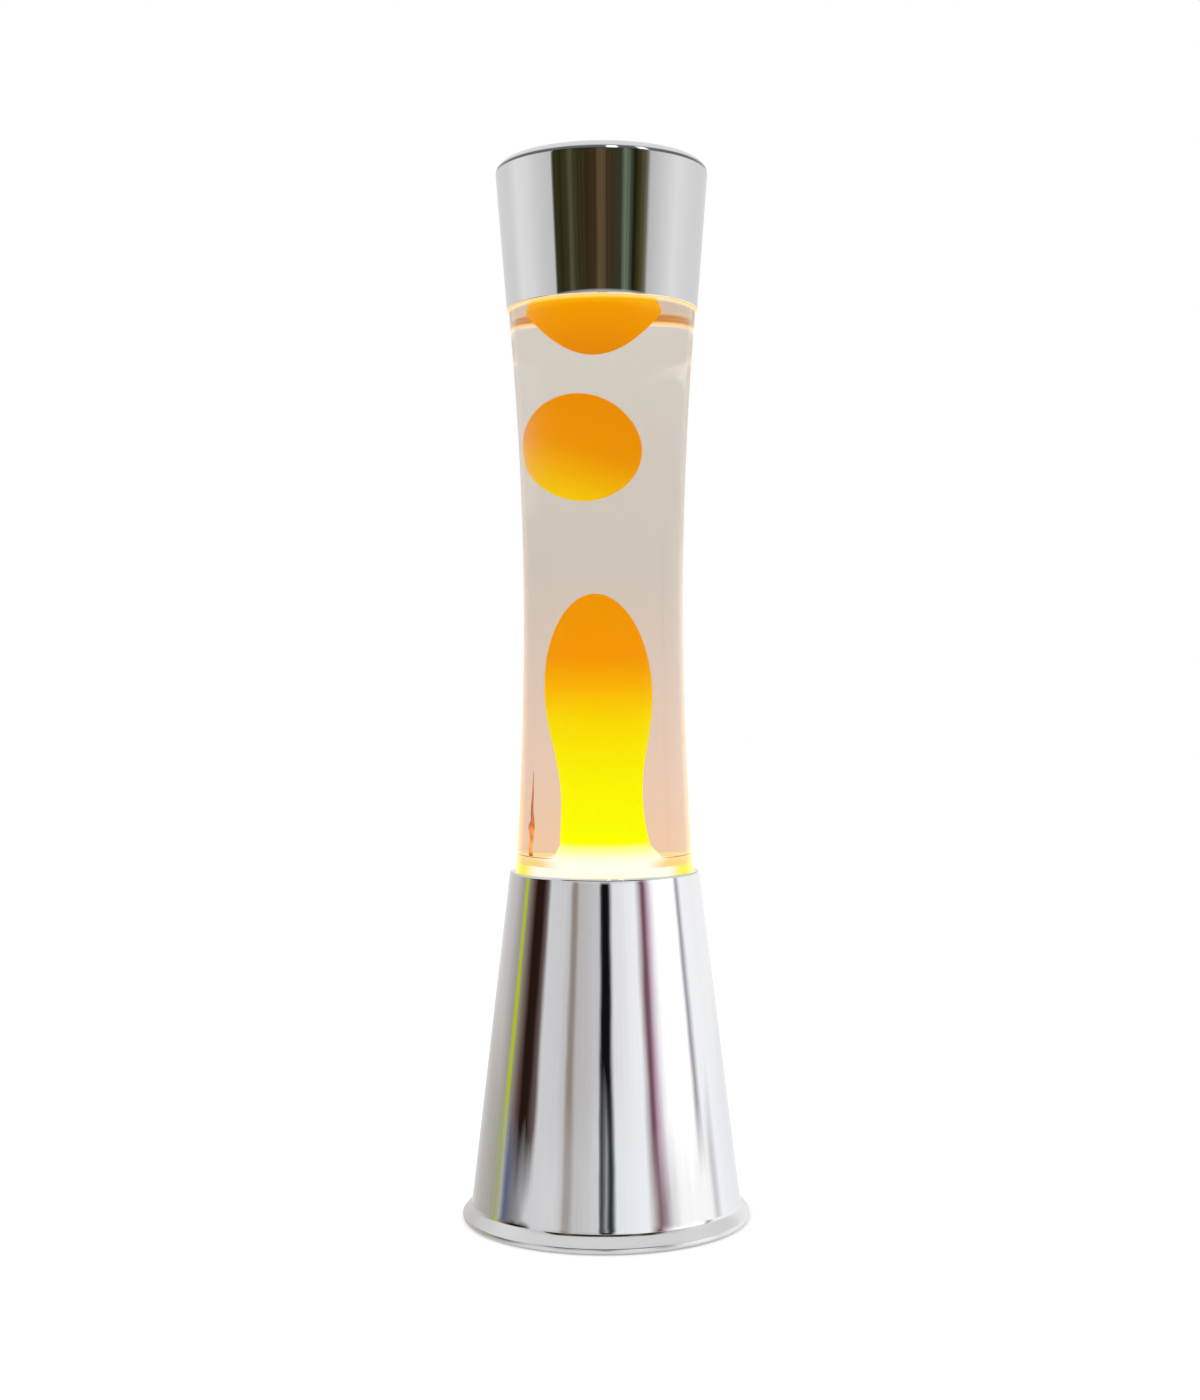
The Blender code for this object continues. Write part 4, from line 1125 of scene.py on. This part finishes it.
def azimuth_share(look):
    """0 to 1 round the Z axis, with 0.5 at the camera's side and more to the right, and the
    height."""
    parts = look.node("SeparateXYZ", Vector=look.where())
    back = look.times(parts.outputs[1], -1.0)
    angle = look.math("ARCTAN2", parts.outputs[0], back)
    return look.ranged(angle, 0, 1, -math.pi, math.pi), parts.outputs[2]


def from_front(look, share):
    return look.math("ABSOLUTE", look.math("SUBTRACT", share, 0.5))


def room_ring(name, low, high, colour_of, radius=RING_R, top_radius=None):
    """A band of the room round the lamp that only mirrors see. Seen through the glass it is
    plain white, so that its stripes don't show behind the liquid."""
    shape = bmesh.new()
    sides = 96
    rings = []
    for r, z in ((radius, low), (top_radius or radius, high)):
        turn = [2 * math.pi * k / sides for k in range(sides)]
        rings.append([shape.verts.new(polar(r, angle, z)) for angle in turn])
    for k in range(sides):
        on = (k + 1) % sides
        shape.faces.new((rings[0][k], rings[0][on], rings[1][on], rings[1][k]))
    look = Look(name, (0, 0, 0), 1.0, Specular_IOR_Level=0.0)
    through_glass = look.node("LightPath").outputs["Transmission Depth"]
    clear = look.math("MINIMUM", through_glass, 1.0)
    look.set(Emission_Color=look.mixed(clear, colour_of(look), (1.0, 1.0, 1.0)), Emission_Strength=1.0)
    made = new_object(name, mesh_of(shape, name), look.material)
    made.visible_camera = False
    made.visible_diffuse = False
    made.visible_transmission = False
    made.visible_shadow = False


def at_degrees(stops):
    """Ramp stops given by degrees round from the camera's side, to the right."""
    return [(0.5 + degrees / 360, colour) for degrees, colour in stops]


def streaked(look, colour, scale, low, high):
    """The colour with fine upright streaks of lighter and darker."""
    streaks = look.ranged(look.noise(scale, detail=4.0, stretch=(1, 1, 0.05)), low, high, 0.3, 0.7)
    blend = look.node("Mix", {"data_type": "RGBA", "blend_type": "MULTIPLY"})
    blend.inputs[0].default_value = 1.0
    look.put(blend.inputs[6], colour)
    look.put(blend.inputs[7], streaks)
    return blend.outputs[2]


def to_seam(look, room, height, clear):
    """The room, fading to plain grey from the height clear to where the two rings meet."""
    return look.mixed(look.ranged(height, 0, 1, clear, SEAM_Z), room, grey(0.85))


def base_room(look):
    """What the base mirrors: one set of stripes above another, with an uneven edge between
    them that is highest in front."""
    share, height = azimuth_share(look)
    wobble = look.ranged(look.noise(5, detail=4.0, stretch=(1, 1, 1.5), roughness=0.6), -0.007, 0.007)
    share = look.math("ADD", share, wobble)
    upper = look.ramp(share, at_degrees([
        (-180, grey(0.95)), (-125, (0.72, 0.69, 0.67)), (-108, (0.5, 0.46, 0.42)),
        (-105, (0.62, 0.74, 0.04)), (-102, (0.62, 0.74, 0.04)), (-99, (0.4, 0.37, 0.3)),
        (-90, (0.16, 0.1, 0.09)), (-85, (0.025, 0.012, 0.008)), (-75, (0.03, 0.014, 0.01)),
        (-68, (0.2, 0.15, 0.14)), (-64, (0.9, 0.9, 0.92)), (-44, (0.86, 0.86, 0.88)),
        (-39, (0.76, 0.74, 0.74)), (-36, (0.4, 0.34, 0.3)), (-33, (0.4, 0.34, 0.3)),
        (-29, (0.7, 0.66, 0.65)), (-7, (0.8, 0.8, 0.82)), (-4, (0.008, 0.008, 0.01)),
        (4, (0.008, 0.008, 0.01)), (8, (1.05, 1.05, 1.09)), (34, (1.28, 1.29, 1.32)),
        (38, (0.8, 0.74, 0.76)), (42, (0.24, 0.11, 0.14)), (45, (0.3, 0.15, 0.2)),
        (49, (0.78, 0.58, 0.7)), (54, (1.3, 1.26, 1.3)), (60, grey(1.6)), (86, grey(1.6)),
        (92, (0.46, 0.42, 0.48)), (99, (1.3, 1.33, 1.38)), (135, grey(1.25)), (180, grey(0.95)),
    ]))
    lower = look.ramp(share, at_degrees([
        (-180, grey(0.85)), (-125, (0.6, 0.56, 0.52)), (-112, (0.52, 0.52, 0.42)),
        (-106, (0.5, 0.56, 0.2)), (-101, (0.62, 0.61, 0.6)), (-95, (0.14, 0.17, 0.3)),
        (-86, (0.28, 0.28, 0.3)), (-78, (0.44, 0.43, 0.45)), (-70, (0.9, 0.9, 0.92)),
        (-44, (0.95, 0.95, 0.97)), (-38, (0.8, 0.78, 0.76)), (-35, (0.52, 0.48, 0.45)),
        (-31, (0.54, 0.5, 0.48)), (-27, (0.76, 0.75, 0.74)), (-7, (0.88, 0.9, 0.92)),
        (-5, (0.05, 0.05, 0.05)), (-2, (0.16, 0.16, 0.17)), (0, (0.44, 0.47, 0.47)),
        (2, (0.04, 0.05, 0.05)), (5, (0.05, 0.06, 0.06)), (8, (1.1, 1.14, 1.17)),
        (34, (1.25, 1.28, 1.32)), (41, (0.62, 0.54, 0.55)), (46, (0.3, 0.18, 0.21)),
        (51, (0.5, 0.4, 0.45)), (57, (1.05, 1.02, 1.05)), (66, grey(1.4)), (98, grey(1.4)),
        (106, (0.85, 0.83, 0.86)), (114, (1.28, 1.31, 1.36)), (180, grey(0.85)),
    ]))
    change = look.ranged(from_front(look, share), 0.068, -0.035, 0.03, 0.22)
    edge = look.math("ADD", change, look.ranged(look.noise(6, detail=4.0, stretch=(1, 1, 0)), -0.05, 0.05))
    room = look.mixed(look.ranged(look.math("SUBTRACT", height, edge), 0, 1, -0.03, 0.03), lower, upper)
    return to_seam(look, streaked(look, room, 30, 0.97, 1.03), height, SEAM_Z - 0.045)


def cap_room(look):
    """What the cap mirrors: a dark, streaked window in front and pale walls round it."""
    share, height = azimuth_share(look)
    window = look.ramp(share, at_degrees([
        (-180, grey(0.78)), (-120, grey(0.9)), (-104, grey(1.06)), (-88, grey(1.00)),
        (-72, grey(0.86)), (-54.5, grey(0.76)), (-53, (0.055, 0.055, 0.028)),
        (-45, (0.036, 0.03, 0.008)), (-38, (0.05, 0.046, 0.024)), (-34, (0.13, 0.13, 0.065)),
        (-29, (0.06, 0.052, 0.022)), (-15, (0.044, 0.032, 0.012)), (-7, (0.07, 0.048, 0.018)),
        (-2, (0.16, 0.11, 0.055)), (3, (0.13, 0.09, 0.046)), (7, (0.062, 0.044, 0.02)),
        (16, (0.05, 0.046, 0.024)), (21, (0.054, 0.056, 0.034)), (25, (0.2, 0.26, 0.18)),
        (28, (0.16, 0.2, 0.14)), (31, (0.09, 0.12, 0.08)), (35, (0.014, 0.014, 0.007)),
        (39, (0.044, 0.036, 0.012)), (45, (0.11, 0.096, 0.042)), (50, (0.22, 0.2, 0.16)),
        (53, grey(0.7)), (66, grey(0.84)), (88, grey(1.06)), (110, grey(0.96)), (180, grey(0.78)),
    ]))
    outside = look.ranged(from_front(look, share), 0, 1, 0.14, 0.146)
    room = look.mixed(outside, streaked(look, window, 60, 0.7, 1.35), window)
    return to_seam(look, room, height, SEAM_Z + 0.035)


def ceiling_room(look):
    """What the cap's top edge mirrors: two bright lamps to the right of the camera's side."""
    share = azimuth_share(look)[0]
    return look.ramp(share, at_degrees([
        (-180, grey(1.0)), (4, grey(1.0)), (6, grey(12.0)), (14, grey(12.0)), (16, grey(1.0)),
        (34, grey(1.0)), (36, grey(9.0)), (44, grey(9.0)), (46, grey(1.0)), (180, grey(1.0)),
    ]))


def make_studio():
    room_ring("room_low", -0.6, SEAM_Z, base_room)
    room_ring("room_high", SEAM_Z + 0.001, 1.1, cap_room)
    room_ring("room_cornice", 0.43, 0.47, ceiling_room, 0.12, 0.11)

    shape = bmesh.new()
    bmesh.ops.create_circle(shape, cap_ends=True, radius=4.0, segments=96)
    paint = Look("floor_paint", grey(0.8), 0.6, Emission_Strength=0.26, Specular_IOR_Level=0.2)
    paint.set(Emission_Color=(1.0, 1.0, 1.0, 1.0))
    paint.bump(paint.noise(300, detail=4.0), 0.0001)
    floor = new_object("floor", mesh_of(shape, "floor"), paint.material)
    floor.visible_glossy = False
    floor.visible_transmission = False

    world = bpy.data.worlds.new("studio")
    bpy.context.scene.world = world
    world.use_nodes = True
    light = world.node_tree.nodes["Background"]
    light.inputs["Color"].default_value = (1.0, 1.0, 1.0, 1.0)
    light.inputs["Strength"].default_value = 1.0

    for name, at, size, power in (
        ("key", (-1.1, -1.2, 1.5), 0.9, 9.0),
        ("fill", (1.3, -0.9, 1.0), 0.9, 4.0),
    ):
        lamp = bpy.data.lights.new(name, "AREA")
        lamp.size = size
        lamp.energy = power
        made = new_object(name, lamp)
        made.location = at
        made.rotation_euler = (Vector((0, 0, 0.2)) - Vector(at)).to_track_quat("-Z", "Y").to_euler()
        made.visible_camera = False
        made.visible_glossy = False


def make_camera():
    camera = bpy.data.cameras.new("camera")
    camera.lens = 50.53
    camera.shift_y = -0.0164
    camera.clip_start = 0.01
    made = new_object("camera", camera)
    roll = math.radians(-0.27)
    made.matrix_world = (
        Matrix.Translation(CAMERA_AT) @ Matrix.Rotation(math.pi / 2, 4, "X") @ Matrix.Rotation(roll, 4, "Z")
    )
    bpy.context.scene.camera = made


make_studio()
make_camera()
bpy.context.scene.view_settings.view_transform = "Standard"

for name, node in frame["nodes"].items():
    slot = slot_of[name]
    if slot in materials and not node.hide_render:
        node.data.materials.clear()
        node.data.materials.append(materials[slot])
